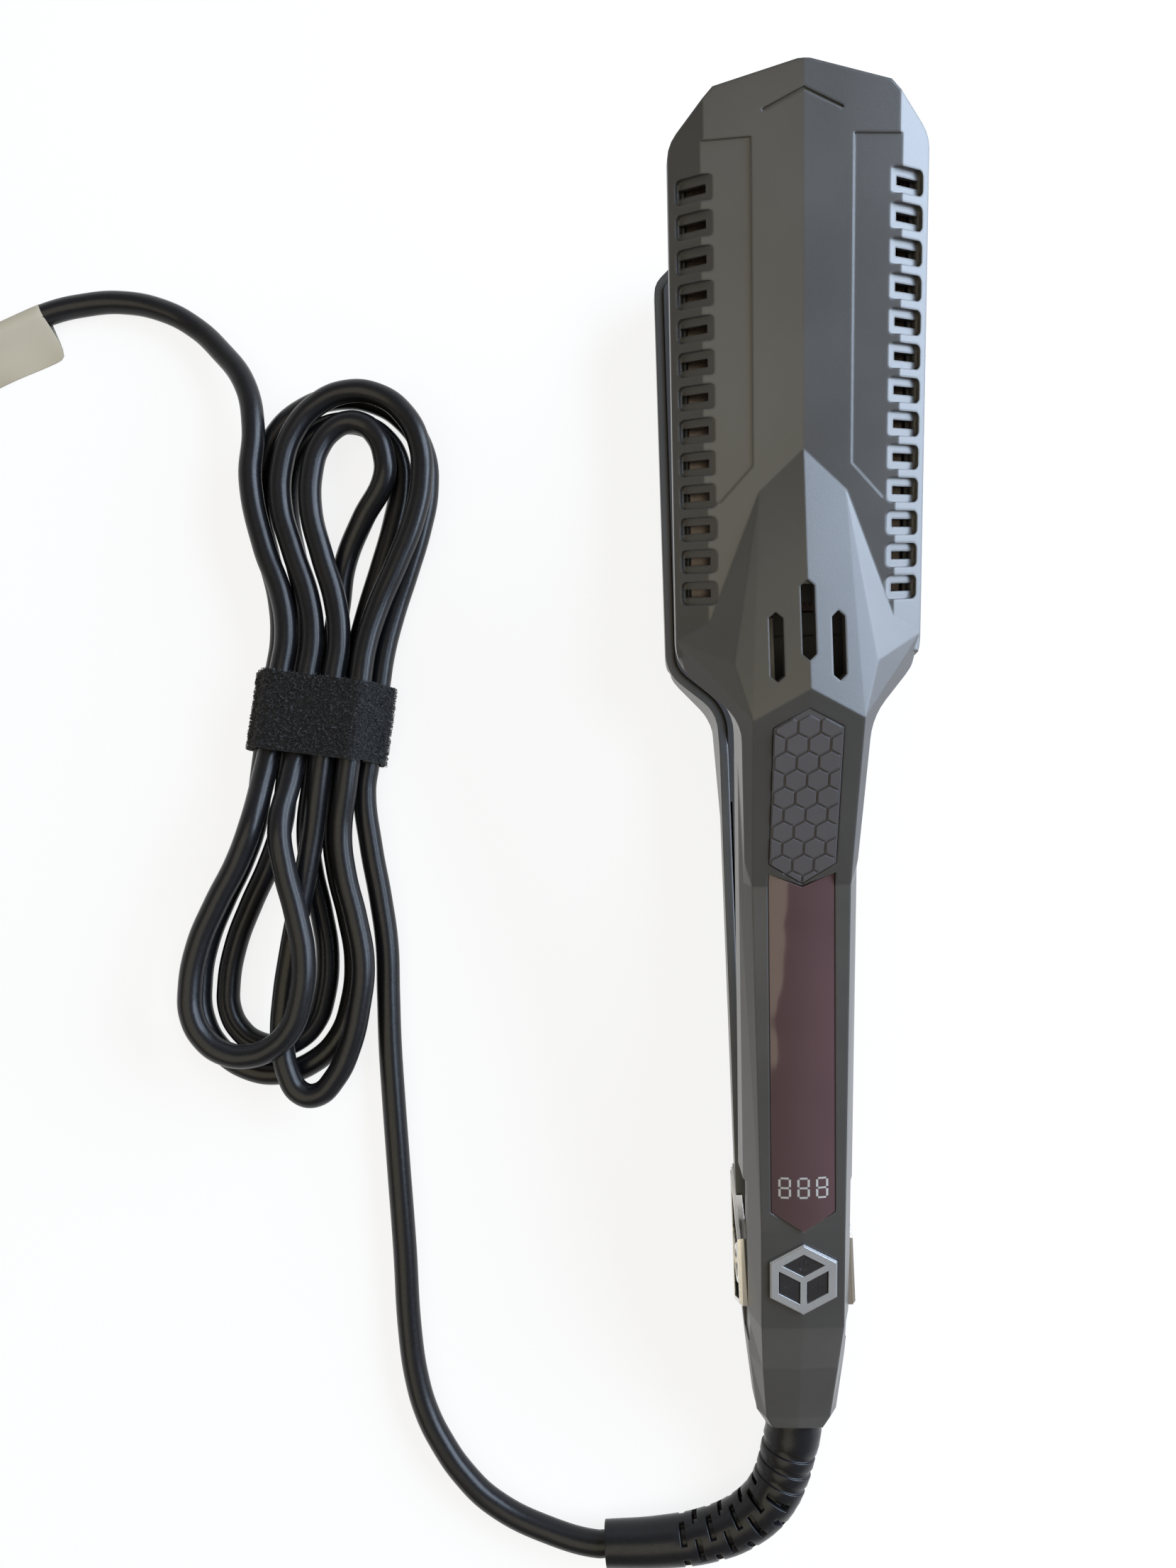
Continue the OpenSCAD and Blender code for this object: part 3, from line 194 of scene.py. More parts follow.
# One row for each strand: place in pitches and layer in the tie, place and
# layer in the far lobe, place and layer in the near lobe
strands = [(2, 0, 19.5, 0, 25, 0), (-2, 0, -26.5, 0, -22.5, 0),
           (1, 0, 12, 0, 18, 0), (-1, 0, -18.5, 0, -15, 0),
           (0, 0, 10, 1, 10.5, 0), (0.5, 1, -10.5, 1, 2, 1),
           (1.5, 1, 19, 1, 21.5, 1), (-0.5, 1, -18.7, 1, 8, 2),
           (-1.5, 1, -27, 1, -20, 2)]
# How far past the tie the strands start to spread, and over what length: in
# the far lobe, in the near lobe, and where one climbs over its neighbours
spreads = {"far": (7.5, 45), "near": (16.5, 40), "late": (32, 30)}
curlRise = [23, 21, 16, 14, 14, 24, 22.5, 15]
curlSteps = 7
strandStops = [-62, -51, -40, -30, -17.5, -10.5, 10.5, 20, 31, 43, 55]


def ease(t):
    u = min(1, max(0, t))
    return u * u * (3 - 2 * u)


def strandPoint(index, y):
    row = strands[index]
    side = 2 if y > 0 else 4
    past = abs(y) - cordSizes["tieWidth"] / 2
    late = row[side + 1] > row[1] and row[1] == 0
    start, reach = spreads["late" if late else "far" if y > 0 else "near"]
    spread = ease((past - start) / reach)
    rise = spread if late else ease(past / cordSizes["rise"])
    place = row[0] * cordSizes["pitch"]
    layer = row[1] + (row[side + 1] - row[1]) * rise
    lift = cordSizes["lift"] * (1 - ease(past / cordSizes["liftFade"]))
    return Vector((place + (row[side] - place) * spread, y,
                   cordSizes["floor"] + layer * cordSizes["pitch"] + lift))


def strandRun(index, stops):
    way = 1 if index % 2 == 0 else -1
    return [strandPoint(index, way * y) for y in stops]


def curlPoints(index):
    way = 1 if index % 2 == 0 else -1
    run = cordSizes["farRun" if way > 0 else "nearRun"]
    a = strandPoint(index, way * run)
    b = strandPoint(index + 1, way * run)
    found = []
    for k in range(curlSteps + 1):
        turn = math.pi * k / curlSteps
        found.append(Vector(((a.x + b.x) / 2 + (a.x - b.x) / 2 * math.cos(turn),
                             way * (run + curlRise[index] * math.sin(turn)),
                             a.z + (b.z - a.z) * k / curlSteps)))
    return found


def inHank(points):
    turn = Matrix.Rotation(math.radians(cordSizes["hankTurn"]), 3, "Z")
    return [turn @ Vector(p) + Vector((*cordSizes["hankSpot"], 0)) for p in points]


def fromHinge(points):
    return [Vector(p) + Vector((0, iron["hinge"], 0)) for p in points]


floorZ = cordSizes["floor"]
bootRoute = fromHinge([cordSizes["exit"], (0, -40.7, 8.4), (0, -42.9, 8.4),
                       (-1.2, -47, 8.4), (-2.8, -52.5, 8.2), (-6, -59, 7.9),
                       (-12.5, -65, 7.3), (-22, -69, 6.7), (-34, -71, 6),
                       (-47.4, -71.6, 5.5)])
lastStrand = len(strands) - 1
hankRoute = strandRun(0, strandStops[4:]) + curlPoints(0)
for i in range(1, lastStrand):
    stops = strandStops if i % 2 == 0 else [-y for y in reversed(strandStops)]
    hankRoute += strandRun(i, stops) + curlPoints(i)
hankRoute = inHank(hankRoute + strandRun(lastStrand, strandStops[:10]))
leadRoute = fromHinge([(-49.4, -71.69, 5.43), (-60.8, -69.4, 4.1),
                       (-75.7, -62.6, floorZ), (-83.3, -55.4, floorZ),
                       (-88.5, -48, floorZ), (-92.3, -40.5, floorZ),
                       (-94.8, -32, floorZ), (-96.4, -20.5, floorZ),
                       (-97.5, 0.8, floorZ), (-98.9, 22.2, floorZ),
                       (-99.9, 38, floorZ), (-100.7, 53, floorZ)])
leadRoute += inHank([(27.4, -70, floorZ), (25.2, -57, floorZ), (21.8, -45, floorZ),
                     (17.6, -32, floorZ + 0.5)])
tagDirection = Vector(cordSizes["tagDirection"]).normalized()
tagSpot = Vector(cordSizes["tagSpot"])
up = Vector((0, 0, 1))
plugRise = (cordSizes["plugHeight"] - floorZ) * up
plugStart = tagSpot + 52 * tagDirection + plugRise
tailRoute = inHank([(-26.6, 61, floorZ + 7), (-28, 75, floorZ + 6.4),
                    (-33, 88, 7.4)])
tailRoute += fromHinge([(-145.5, 242, 4.6), (-152.5, 249, floorZ),
                        (-161, 254, floorZ), (-173, 257, floorZ),
                        (-184, 256.6, floorZ)])
tailRoute += [tagSpot, tagSpot + 28 * tagDirection,
              tagSpot + 37 * tagDirection + 3 * up,
              tagSpot + 46 * tagDirection + plugRise, plugStart]
cordPoints = [p * mm for p in bootRoute + leadRoute + hankRoute + tailRoute]
cord = lineCurve("powerCord", cordPoints, cordSizes["diameter"] / 2 * mm)
bare = lineCurve("cordLine", cordPoints)
cordLength = curveLength(bare)
bpy.data.objects.remove(bare)
print("cord drawn:", round(cordLength, 4), "m")

# Bend relief: a tapering rubber sleeve, grooved and slotted while straight,
# then bent along the cord
bootSizes = {"startRadius": 7.0, "endRadius": 5.2, "sides": 64, "mouth": 3.25,
             "firstGroove": 8.0, "groovePitch": 3.8, "grooves": 11,
             "rings": 3, "grooveWidth": 1.5, "ringDepth": 0.5, "slotDepth": 1.7,
             "slotTurn": (16, 74), "mouthDepth": 2, "soft": 0.18}
bootPath = lineCurve("bootPath", [p * mm for p in bootRoute], steps=24)
bootLength = curveLength(bootPath)
clearSelection()
bpy.ops.mesh.primitive_cone_add(vertices=bootSizes["sides"], depth=bootLength,
                                radius1=bootSizes["startRadius"] * mm,
                                radius2=bootSizes["endRadius"] * mm,
                                location=(0, 0, bootLength / 2))
boot = named("bendRelief")
bpy.ops.object.transform_apply(location=True)
bpy.ops.object.mode_set(mode="EDIT")
cuts = [bootSizes["firstGroove"] + i * bootSizes["groovePitch"] + side
        for i in range(bootSizes["grooves"]) for side in (0, bootSizes["grooveWidth"])]
# More cuts at both plain ends, so that they bend smoothly
cuts += [2, 4, 6] + [bootLength / mm - k for k in (16, 14, 12, 10, 8, 6, 4, 2, 0.5)]
for cut in cuts:
    bpy.ops.mesh.select_all(action="SELECT")
    bpy.ops.mesh.bisect(plane_co=(0, 0, cut * mm), plane_no=(0, 0, 1))


def grooveAt(height):
    step = (height / mm - bootSizes["firstGroove"]) / bootSizes["groovePitch"]
    index = math.floor(step)
    inside = (step - index) * bootSizes["groovePitch"] < bootSizes["grooveWidth"]
    return index if inside and 0 <= index < bootSizes["grooves"] else None


def inSlot(face):
    centre = face.calc_center_median()
    index = grooveAt(centre.z)
    if index is None or index < bootSizes["rings"] or abs(face.normal.z) > 0.5:
        return False
    turn = (math.degrees(math.atan2(centre.y, centre.x)) + (45 if index % 2 else 0)) % 90
    return bootSizes["slotTurn"][0] < turn < bootSizes["slotTurn"][1]


def inRing(face):
    index = grooveAt(face.calc_center_median().z)
    return index is not None and index < bootSizes["rings"] and abs(face.normal.z) < 0.5


for test, depth in ((inRing, "ringDepth"), (inSlot, "slotDepth")):
    choose(boot, faceTest=test)
    bpy.ops.mesh.extrude_region_shrink_fatten(
        TRANSFORM_OT_shrink_fatten={"value": -bootSizes[depth] * mm})
choose(boot, faceTest=lambda f: (f.normal.z > 0.9 and
                                 f.calc_center_median().z > bootLength - 0.1 * mm))
bpy.ops.mesh.inset(thickness=(bootSizes["endRadius"] - bootSizes["mouth"]) * mm)
bpy.ops.mesh.extrude_region_move(
    TRANSFORM_OT_translate={"value": (0, 0, -bootSizes["mouthDepth"] * mm)})
bpy.ops.object.mode_set(mode="OBJECT")
bend = boot.modifiers.new("bend", "CURVE")
bend.object = bootPath
bend.deform_axis = "POS_Z"
soften(boot, bootSizes["soft"] * mm, 2, 40)
finishModifiers(boot)
boot = settle(boot, 50)
bpy.data.objects.remove(bootPath)
print("bend relief:", len(boot.data.polygons), "faces")

# Tie: one turn of hook-and-loop tape, then its pile
tieSizes = {"width": 20.5, "thick": 1.1, "sides": 96, "clear": 0.3,
            "pile": 7600, "pileLength": 1.2, "pileRadius": 0.06,
            "pileArch": 0.75, "pileFoot": 1.2, "wave": 0.35}


def tieEdge(turn, grow):
    # Outline of the strands in the tie, seen along the hank
    outward = Vector((math.cos(turn), 0, math.sin(turn)))
    best = None
    for across, layer in ((-2, 0), (2, 0), (1.5, 1), (-1.5, 1)):
        centre = Vector((across * cordSizes["pitch"], 0,
                         floorZ + cordSizes["lift"] + layer * cordSizes["pitch"]))
        if best is None or centre.dot(outward) > best.dot(outward):
            best = centre
    return best + outward * (cordSizes["diameter"] / 2 + grow)


def tiePlace(point):
    return inHank([point])[0] * mm


clearSelection()
bpy.ops.mesh.primitive_cylinder_add(vertices=tieSizes["sides"], end_fill_type="NOTHING",
                                    radius=0.01, depth=tieSizes["width"] * mm,
                                    rotation=(math.pi / 2, 0, 0))
tie = named("hankTie")
bpy.ops.object.transform_apply(rotation=True)
bpy.ops.object.mode_set(mode="EDIT")
bpy.ops.mesh.subdivide(number_cuts=1)
bpy.ops.object.mode_set(mode="OBJECT")
wobble = random.Random(4)
for vertex in tie.data.vertices:
    turn = math.atan2(vertex.co.z, vertex.co.x)
    edge = tieEdge(turn, tieSizes["clear"])
    edge.y = vertex.co.y / mm + tieSizes["wave"] * math.sin(3 * turn + 1)
    vertex.co = tiePlace(edge)
thicken = tie.modifiers.new("thicken", "SOLIDIFY")
thicken.thickness = tieSizes["thick"] * mm
thicken.offset = 1
finishModifiers(tie)
tie = settle(tie, 40)

# The pile is short curled fibres, all in one mesh.
pileMesh = bmesh.new()
outline = [tieEdge(2 * math.pi * i / tieSizes["sides"],
                   tieSizes["clear"] + tieSizes["thick"] - 0.1)
           for i in range(tieSizes["sides"])]
edges = list(zip(outline, outline[1:] + outline[:1]))
lengths = [(b - a).length for a, b in edges]
for start, end in wobble.choices(edges, lengths, k=tieSizes["pile"]):
    root = start.lerp(end, wobble.random())
    outward = Vector((0, 1, 0)).cross(end - start).normalized()
    root.y = wobble.uniform(-0.5, 0.5) * (tieSizes["width"] + 0.3)
    if root.z < tieSizes["pileFoot"]:
        continue
    side = Vector((wobble.gauss(0, 1), wobble.gauss(0, 1), wobble.gauss(0, 1)))
    side = (side - outward * side.dot(outward)).normalized()
    long = tieSizes["pileLength"] * wobble.uniform(0.5, 1.0)
    arch = [root + side * long * (k / 3 - 0.5)
            + outward * tieSizes["pileArch"] * long * math.sin(math.pi * k / 3)
            for k in range(4)]
    cross = side.cross(outward)
    rings = []
    for point in arch:
        rings.append([pileMesh.verts.new(tiePlace(point + tieSizes["pileRadius"]
                      * (cross * math.cos(turn) + outward * math.sin(turn))))
                      for turn in (0.5, 2.6, 4.7)])
    for near, far in zip(rings, rings[1:]):
        for k in range(3):
            pileMesh.faces.new((near[k], near[(k + 1) % 3], far[(k + 1) % 3], far[k]))
    pileMesh.faces.new(rings[0])
    pileMesh.faces.new(reversed(rings[-1]))
pileData = bpy.data.meshes.new("tiePile")
pileMesh.to_mesh(pileData)
pileMesh.free()
pile = bpy.data.objects.new("tiePile", pileData)
scene.collection.objects.link(pile)
cleanMesh(pile)
pile = settle(pile, 60)
print("tie:", len(pile.data.polygons), "pile faces")

# Tag: a bare strip folded round the cord, its two halves stuck together
tagSizes = {"length": 25, "reach": 12.4, "thick": 0.16, "meet": 6.4, "low": 0.12,
            "high": 0.42, "highEnd": 0.36, "clear": 0.12, "turns": (58, 298),
            "steps": 12, "curl": 0.5}
tagTurn = math.atan2(tagDirection.y, tagDirection.x) + math.pi / 2
tagFrame = (Matrix.Translation((tagSpot + tagDirection) * mm)
            @ Matrix.Rotation(tagTurn, 4, "Z"))
wrap = cordSizes["diameter"] / 2 + tagSizes["clear"]
fold = [Vector((tagSizes["reach"], 0, -floorZ + tagSizes["highEnd"])),
        Vector((tagSizes["meet"], 0, -floorZ + tagSizes["high"]))]
firstTurn, lastTurn = tagSizes["turns"]
for k in range(tagSizes["steps"] + 1):
    a = math.radians(firstTurn + k * (lastTurn - firstTurn) / tagSizes["steps"])
    fold.append(Vector((wrap * math.cos(a), 0, wrap * math.sin(a))))
fold += [Vector((across, 0, -floorZ + tagSizes["low"]))
         for across in (tagSizes["meet"] * 0.6, tagSizes["meet"], tagSizes["reach"])]
clearSelection()
bpy.ops.mesh.primitive_grid_add(x_subdivisions=len(fold) - 1, y_subdivisions=8, size=1)
tag = named("cordTag")
for vertex in tag.data.vertices:
    step = min(len(fold) - 1, max(0, int((vertex.co.x + 0.5) * (len(fold) - 1) + 0.5)))
    spot = fold[step].copy()
    spot.y = (vertex.co.y - 0.5) * tagSizes["length"]
    far = max(0, spot.x - tagSizes["meet"]) / (tagSizes["reach"] - tagSizes["meet"])
    spot.z += tagSizes["curl"] * far * far * (0.5 + 0.5 * math.sin(0.3 * spot.y))
    vertex.co = tagFrame @ (spot * mm)
thicken = tag.modifiers.new("thicken", "SOLIDIFY")
thicken.thickness = tagSizes["thick"] * mm
thicken.offset = 0
smoother = tag.modifiers.new("smoother", "SUBSURF")
smoother.levels = smoother.render_levels = 1
finishModifiers(tag)
tag = settle(tag, 40)

# Plug: ribbed neck, rounded body and flange, with the blades of the model
plugFrame = (Matrix.Translation(plugStart * mm)
             @ Matrix.Rotation(tagTurn - math.pi, 4, "Z")
             @ Matrix.Rotation(-math.pi / 2, 4, "X"))
plugSizes = {"neck": 15.5, "body": 14, "wide": 25, "deep": 15, "corner": 4.5,
             "shoulder": 3, "shoulderTop": (0.74, 0.8, 1), "shoulderEnd": (0.62, 0.9, 1),
             "lip": 0.4, "flange": 1.1, "flare": (1.07, 1.12, 1),
             "ribs": 6, "ribPitch": 2.5, "ribFirst": 0.95, "ribRadius": 4.5,
             "ribGrows": 0.22, "ribTall": 1.7,
             "coreStart": 3.7, "coreEnd": 4.6, "coreTall": 15.8, "coreMiddle": 8}
clearSelection()
bpy.ops.mesh.primitive_cube_add(size=1)
plug = bpy.context.object
plug.scale = (plugSizes["wide"] * mm, plugSizes["deep"] * mm, plugSizes["body"] * mm)
plug.location = (0, 0, (plugSizes["neck"] + plugSizes["body"] / 2) * mm)
bpy.ops.object.transform_apply(location=True, scale=True)
choose(plug, edgeTest=lambda e: abs((e.verts[0].co - e.verts[1].co).z) > 5 * mm)
bpy.ops.mesh.bevel(offset=plugSizes["corner"] * mm, segments=6)
choose(plug, faceTest=lambda f: f.normal.z < -0.9)
bpy.ops.mesh.inset(thickness=0.1 * mm)
bpy.ops.transform.resize(value=plugSizes["shoulderTop"])
bpy.ops.mesh.extrude_region_move(
    TRANSFORM_OT_translate={"value": (0, 0, -plugSizes["shoulder"] * mm)})
bpy.ops.transform.resize(value=plugSizes["shoulderEnd"])
choose(plug, faceTest=lambda f: f.normal.z > 0.9)
bpy.ops.mesh.inset(thickness=0.1 * mm)
bpy.ops.mesh.extrude_region_move(
    TRANSFORM_OT_translate={"value": (0, 0, plugSizes["lip"] * mm)})
bpy.ops.transform.resize(value=plugSizes["flare"])
bpy.ops.mesh.extrude_region_move(
    TRANSFORM_OT_translate={"value": (0, 0, plugSizes["flange"] * mm)})
bpy.ops.object.mode_set(mode="OBJECT")
soften(plug, 0.6 * mm, 3)
finishModifiers(plug)
neckParts = []
for i in range(plugSizes["ribs"]):
    clearSelection()
    bpy.ops.mesh.primitive_cylinder_add(
        vertices=40, radius=(plugSizes["ribRadius"] + plugSizes["ribGrows"] * i) * mm,
        depth=plugSizes["ribTall"] * mm,
        location=(0, 0, (plugSizes["ribFirst"] + plugSizes["ribPitch"] * i) * mm))
    rib = bpy.context.object
    soften(rib, 0.4 * mm, 2)
    finishModifiers(rib)
    neckParts.append(rib)
clearSelection()
bpy.ops.mesh.primitive_cone_add(vertices=40, radius1=plugSizes["coreStart"] * mm,
                                radius2=plugSizes["coreEnd"] * mm,
                                depth=plugSizes["coreTall"] * mm,
                                location=(0, 0, plugSizes["coreMiddle"] * mm))
neckParts.append(bpy.context.object)
plug = joined([plug] + neckParts, "plugBody")
plug.matrix_world = plugFrame
plug = settle(plug, 35)
print("tag and plug made")

# Wires inside the handle: one pair in each arm, to the heaters
wirePairs = {
    "lowerWires": (lowerPoint, [(5.2, -10.9, 11.9), (5.4, -6, 10.4), (6.3, 8, 7),
                                (6.3, 36, 5), (4.6, 72, 5), (4.6, 119, 5.4),
                                (5.4, 140, 6.4), (6, 156, 6.4)]),
    "upperWires": (upperPoint, [(5.2, 46, 7.4), (5.2, 57, 7.4), (4.6, 72, 5),
                                (4.6, 119, 5.4), (5.4, 140, 6.4), (6, 156, 6.4)])}
inside = {}
for name, (toWorld, route) in wirePairs.items():
    pair = [settle(lineCurve(name, [toWorld(way * x, y, z) for x, y, z in route],
                             0.7 * mm, 3, 6)) for way in (1, -1)]
    inside[name] = joined(pair, name)

# Hinge spring: coils that close up at both ends, tilted to meet both cups
springSizes = {"wire": 0.45, "radius": 2.9, "turns": 7, "steps": 16, "flat": 0.75,
               "closed": 0.8, "cup": (0, 20, 5), "seat": 0.487, "held": 2.2}
foot, top = lowerPoint(*springSizes["cup"]), upperPoint(*springSizes["cup"])
springWay = (top - foot).normalized()
springRise = (top - foot).length / mm - 2 * (springSizes["seat"] + springSizes["wire"])
coil = []
for k in range(springSizes["turns"] * springSizes["steps"] + 1):
    turns = k / springSizes["steps"]
    left = springSizes["turns"] - turns
    climb = (turns - springSizes["flat"]) / (springSizes["turns"] - 2 * springSizes["flat"])
    height = min(1, max(0, climb)) * (springRise - 2 * springSizes["closed"])
    height += springSizes["closed"] * (min(1, turns / springSizes["flat"])
                                       - min(1, left / springSizes["flat"]) + 1)
    coil.append(Vector((springSizes["radius"] * math.cos(math.tau * turns),
                        springSizes["radius"] * math.sin(math.tau * turns), height)))
lean = Vector((0, 0, 1)).rotation_difference(springWay)
seat = foot + springWay * (springSizes["seat"] + springSizes["wire"]) * mm
inside["hingeSpring"] = settle(lineCurve("hingeSpring", [seat + lean @ (p * mm) for p in coil],
                                         springSizes["wire"] * mm, 3, 2))

# Float pads: soft barrels between each plate's carrier and its heat shield
padSizes = {"across": 11, "along": (170, 234), "foot": 7.2, "tall": 1.8,
            "radius": 2.5, "rim": 1.1, "crown": 0.82, "keep": 0.45}
padTilt = {"lowerPads": (lowerPoint, 0), "upperPads": (upperPoint, iron["open"])}
for name, (toWorld, tilt) in padTilt.items():
    barrels = []
    for way in (1, -1):
        for along in padSizes["along"]:
            clearSelection()
            spot = toWorld(way * padSizes["across"], along,
                           padSizes["foot"] - padSizes["tall"] / 2)
            bpy.ops.mesh.primitive_cylinder_add(
                vertices=32, radius=padSizes["radius"] * mm, depth=padSizes["tall"] * mm,
                location=spot, rotation=(tilt, 0, 0))
            barrel = bpy.context.object
            choose(barrel, faceTest=lambda f: abs(f.normal.z) > 0.9)
            bpy.ops.mesh.inset(thickness=padSizes["rim"] * mm)
            bpy.ops.transform.resize(value=(1, 1, padSizes["crown"]), orient_type="LOCAL")
            bpy.ops.object.mode_set(mode="OBJECT")
            soften(barrel, 0.25 * mm, 2)
            finishModifiers(barrel)
            barrels.append(barrel)
    inside[name] = settle(joined(barrels, name))
print("inner pieces made")


# Materials. A Wire is one socket of a material, to add, subtract and multiply.
class Wire:
    def __init__(self, recipe, socket):
        self.recipe, self.socket = recipe, socket

    def __add__(self, other):
        return self.recipe.maths("ADD", self, other)

    def __sub__(self, other):
        return self.recipe.maths("SUBTRACT", self, other)

    def __rsub__(self, other):
        return self.recipe.maths("SUBTRACT", other, self)

    def __mul__(self, other):
        return self.recipe.maths("MULTIPLY", self, other)

    __radd__ = __add__
    __rmul__ = __mul__

    def out(self, name):
        return Wire(self.recipe, self.socket.node.outputs[name])

    def span(self, low, high):
        # Smooth step from 0 at low to 1 at high
        return self.recipe.node("ShaderNodeMapRange", {"interpolation_type": "SMOOTHSTEP"},
                                {"Value": self, "From Min": low, "From Max": high})


class Recipe:
    def __init__(self, name, holder=None):
        self.material = holder or bpy.data.materials.new(name)
        self.material.use_nodes = True
        self.tree = self.material.node_tree
        self.shader = self.tree.nodes.get("Principled BSDF")
        self.place = self.node("ShaderNodeTexCoord").out("Object")

    def feed(self, socket, value):
        if isinstance(value, Wire):
            self.tree.links.new(value.socket, socket)
        elif socket.type == "RGBA" and len(value) == 3:
            socket.default_value = (*value, 1)
        else:
            socket.default_value = value

    def node(self, kind, settings=None, values=None):
        made = self.tree.nodes.new(kind)
        for key, value in (settings or {}).items():
            setattr(made, key, value)
        for key, value in (values or {}).items():
            self.feed(made.inputs[key], value)
        return Wire(self, next((o for o in made.outputs if o.enabled), made.outputs[0]))

    def maths(self, operation, first, second):
        return self.node("ShaderNodeMath", {"operation": operation}, {0: first, 1: second})

    def noise(self, scale, detail=3, rough=0.5, stretch=None):
        place = self.place
        if stretch:
            place = self.node("ShaderNodeMapping", None, {"Vector": place, "Scale": stretch})
        return self.node("ShaderNodeTexNoise", None,
                         {"Vector": place, "Scale": scale, "Detail": detail, "Roughness": rough})

    def blend(self, share, first, second):
        made = self.node("ShaderNodeMix", {"data_type": "RGBA"}, {0: share, 6: first, 7: second})
        return Wire(self, made.socket.node.outputs[2])

    def bump(self, height, distance, strength=1.0, over=None):
        values = {"Height": height, "Distance": distance, "Strength": strength}
        if over:
            values["Normal"] = over
        return self.node("ShaderNodeBump", None, values)

    def rounded(self, radius):
        return self.node("ShaderNodeBevel", {"samples": 4}, {"Radius": radius})

    def finish(self, **values):
        for key, value in values.items():
            self.feed(self.shader.inputs[key.replace("_", " ")], value)
        return self.material

    def seen(self):
        # 1 for what the camera sees, straight, mirrored or through glass
        rays = self.node("ShaderNodeLightPath")
        bent = self.maths("MAXIMUM", rays.out("Is Glossy Ray"),
                          rays.out("Is Transmission Ray"))
        return self.maths("MAXIMUM", rays.out("Is Camera Ray"), bent)


def dress(piece, material):
    if not piece.material_slots:
        piece.data.materials.append(material)
    for slot in piece.material_slots:
        slot.material = material


def softTouch():
    tone = (0.046, 0.0445, 0.044)
    r = Recipe("softTouch")
    cloud = r.noise(38, 4)
    grain = r.noise(5200, 2, 0.6)
    colour = r.blend(cloud.span(0.3, 0.7), tuple(c * 0.9 for c in tone),
                     tuple(c * 1.12 for c in tone))
    return r.finish(Base_Color=colour, Roughness=0.29 + cloud * 0.07 + grain * 0.06,
                    Coat_Weight=0.12, Coat_Roughness=0.25,
                    Normal=r.bump(grain, 0.00004, 0.55, r.rounded(0.0007)))


def mouldedBlack():
    r = Recipe("mouldedBlack")
    cloud = r.noise(60, 3)
    grain = r.noise(3600, 2)
    return r.finish(Base_Color=r.blend(cloud, (0.018, 0.018, 0.020), (0.027, 0.027, 0.030)),
                    Roughness=0.42 + grain * 0.12,
                    Normal=r.bump(grain, 0.00003, 0.5, r.rounded(0.0004)))


def rubberCord():
    r = Recipe("rubberCord")
    cloud = r.noise(45, 3)
    drawn = r.noise(900, 2, 0.5)
    return r.finish(Base_Color=r.blend(cloud, (0.005, 0.005, 0.006), (0.010, 0.010, 0.012)),
                    Roughness=0.22 + drawn * 0.16, Specular_IOR_Level=0.26,
                    Normal=r.bump(drawn, 0.00005, 0.35))


def tape(name, dark, pale):
    r = Recipe(name)
    cloud = r.noise(1100, 2)
    return r.finish(Base_Color=r.blend(cloud.span(0.35, 0.7), dark, pale),
                    Roughness=0.7 + cloud * 0.1, Sheen_Weight=0.05,
                    Specular_IOR_Level=0.25)


def paper():
    r = Recipe("tagPaper")
    fibre = r.noise(1500, 4)
    stain = r.noise(90, 2)
    return r.finish(Base_Color=r.blend(stain, (0.40, 0.355, 0.27), (0.47, 0.42, 0.33)),
                    Roughness=0.6 + fibre * 0.15, Normal=r.bump(fibre, 0.00003, 0.6))


def polished(name, tone, rough=0.08, scratch=0.08):
    r = Recipe(name)
    marks = r.noise(900, 2, 0.5, (1, 0.08, 1))
    cloud = r.noise(120, 2)
    return r.finish(Base_Color=r.blend(cloud, tuple(c * 0.92 for c in tone), tone),
                    Metallic=1.0, Roughness=rough + marks * scratch,
                    Normal=r.bump(marks, 0.00001, 0.4, r.rounded(0.0003)))


def satinSilver():
    r = Recipe("satinSilver")
    grain = r.noise(4200, 2)
    cloud = r.noise(200, 2)
    return r.finish(Base_Color=r.blend(cloud, (0.36, 0.37, 0.39), (0.42, 0.43, 0.45)),
                    Metallic=0.55, Roughness=0.34 + grain * 0.12,
                    Normal=r.bump(grain, 0.00003, 0.5, r.rounded(0.0002)))


def glossButton():
    r = Recipe("glossButton")
    cloud = r.noise(300, 2)
    return r.finish(Base_Color=r.blend(cloud, (0.010, 0.010, 0.014), (0.018, 0.018, 0.022)),
                    Roughness=0.12 + cloud * 0.06, Coat_Weight=0.6, Coat_Roughness=0.04,
                    Normal=r.rounded(0.0002))


def smokedLens():
    r = Recipe("smokedLens")
    cloud = r.noise(30, 2)
    return r.finish(Base_Color=r.blend(cloud, (0.058, 0.033, 0.036), (0.090, 0.049, 0.054)),
                    Roughness=0.07 + cloud * 0.03,
                    Normal=r.bump(r.noise(55, 1), 0.0005, 1.0, r.rounded(0.0003)))


def segmentGrey():
    r = Recipe("segmentGrey")
    cloud = r.noise(800, 2)
    return r.finish(Base_Color=r.blend(cloud, (0.34, 0.33, 0.32), (0.42, 0.41, 0.40)),
                    Roughness=0.3 + cloud * 0.1, Coat_Weight=0.8, Coat_Roughness=0.03)


def tiledRubber():
    r = Recipe("tiledRubber")
    cloud = r.noise(80, 3)
    grain = r.noise(4200, 2)
    return r.finish(Base_Color=r.blend(cloud, (0.060, 0.057, 0.063), (0.078, 0.074, 0.082)),
                    Roughness=0.42 + grain * 0.15,
                    Normal=r.bump(grain, 0.00004, 0.5, r.rounded(0.0002)))


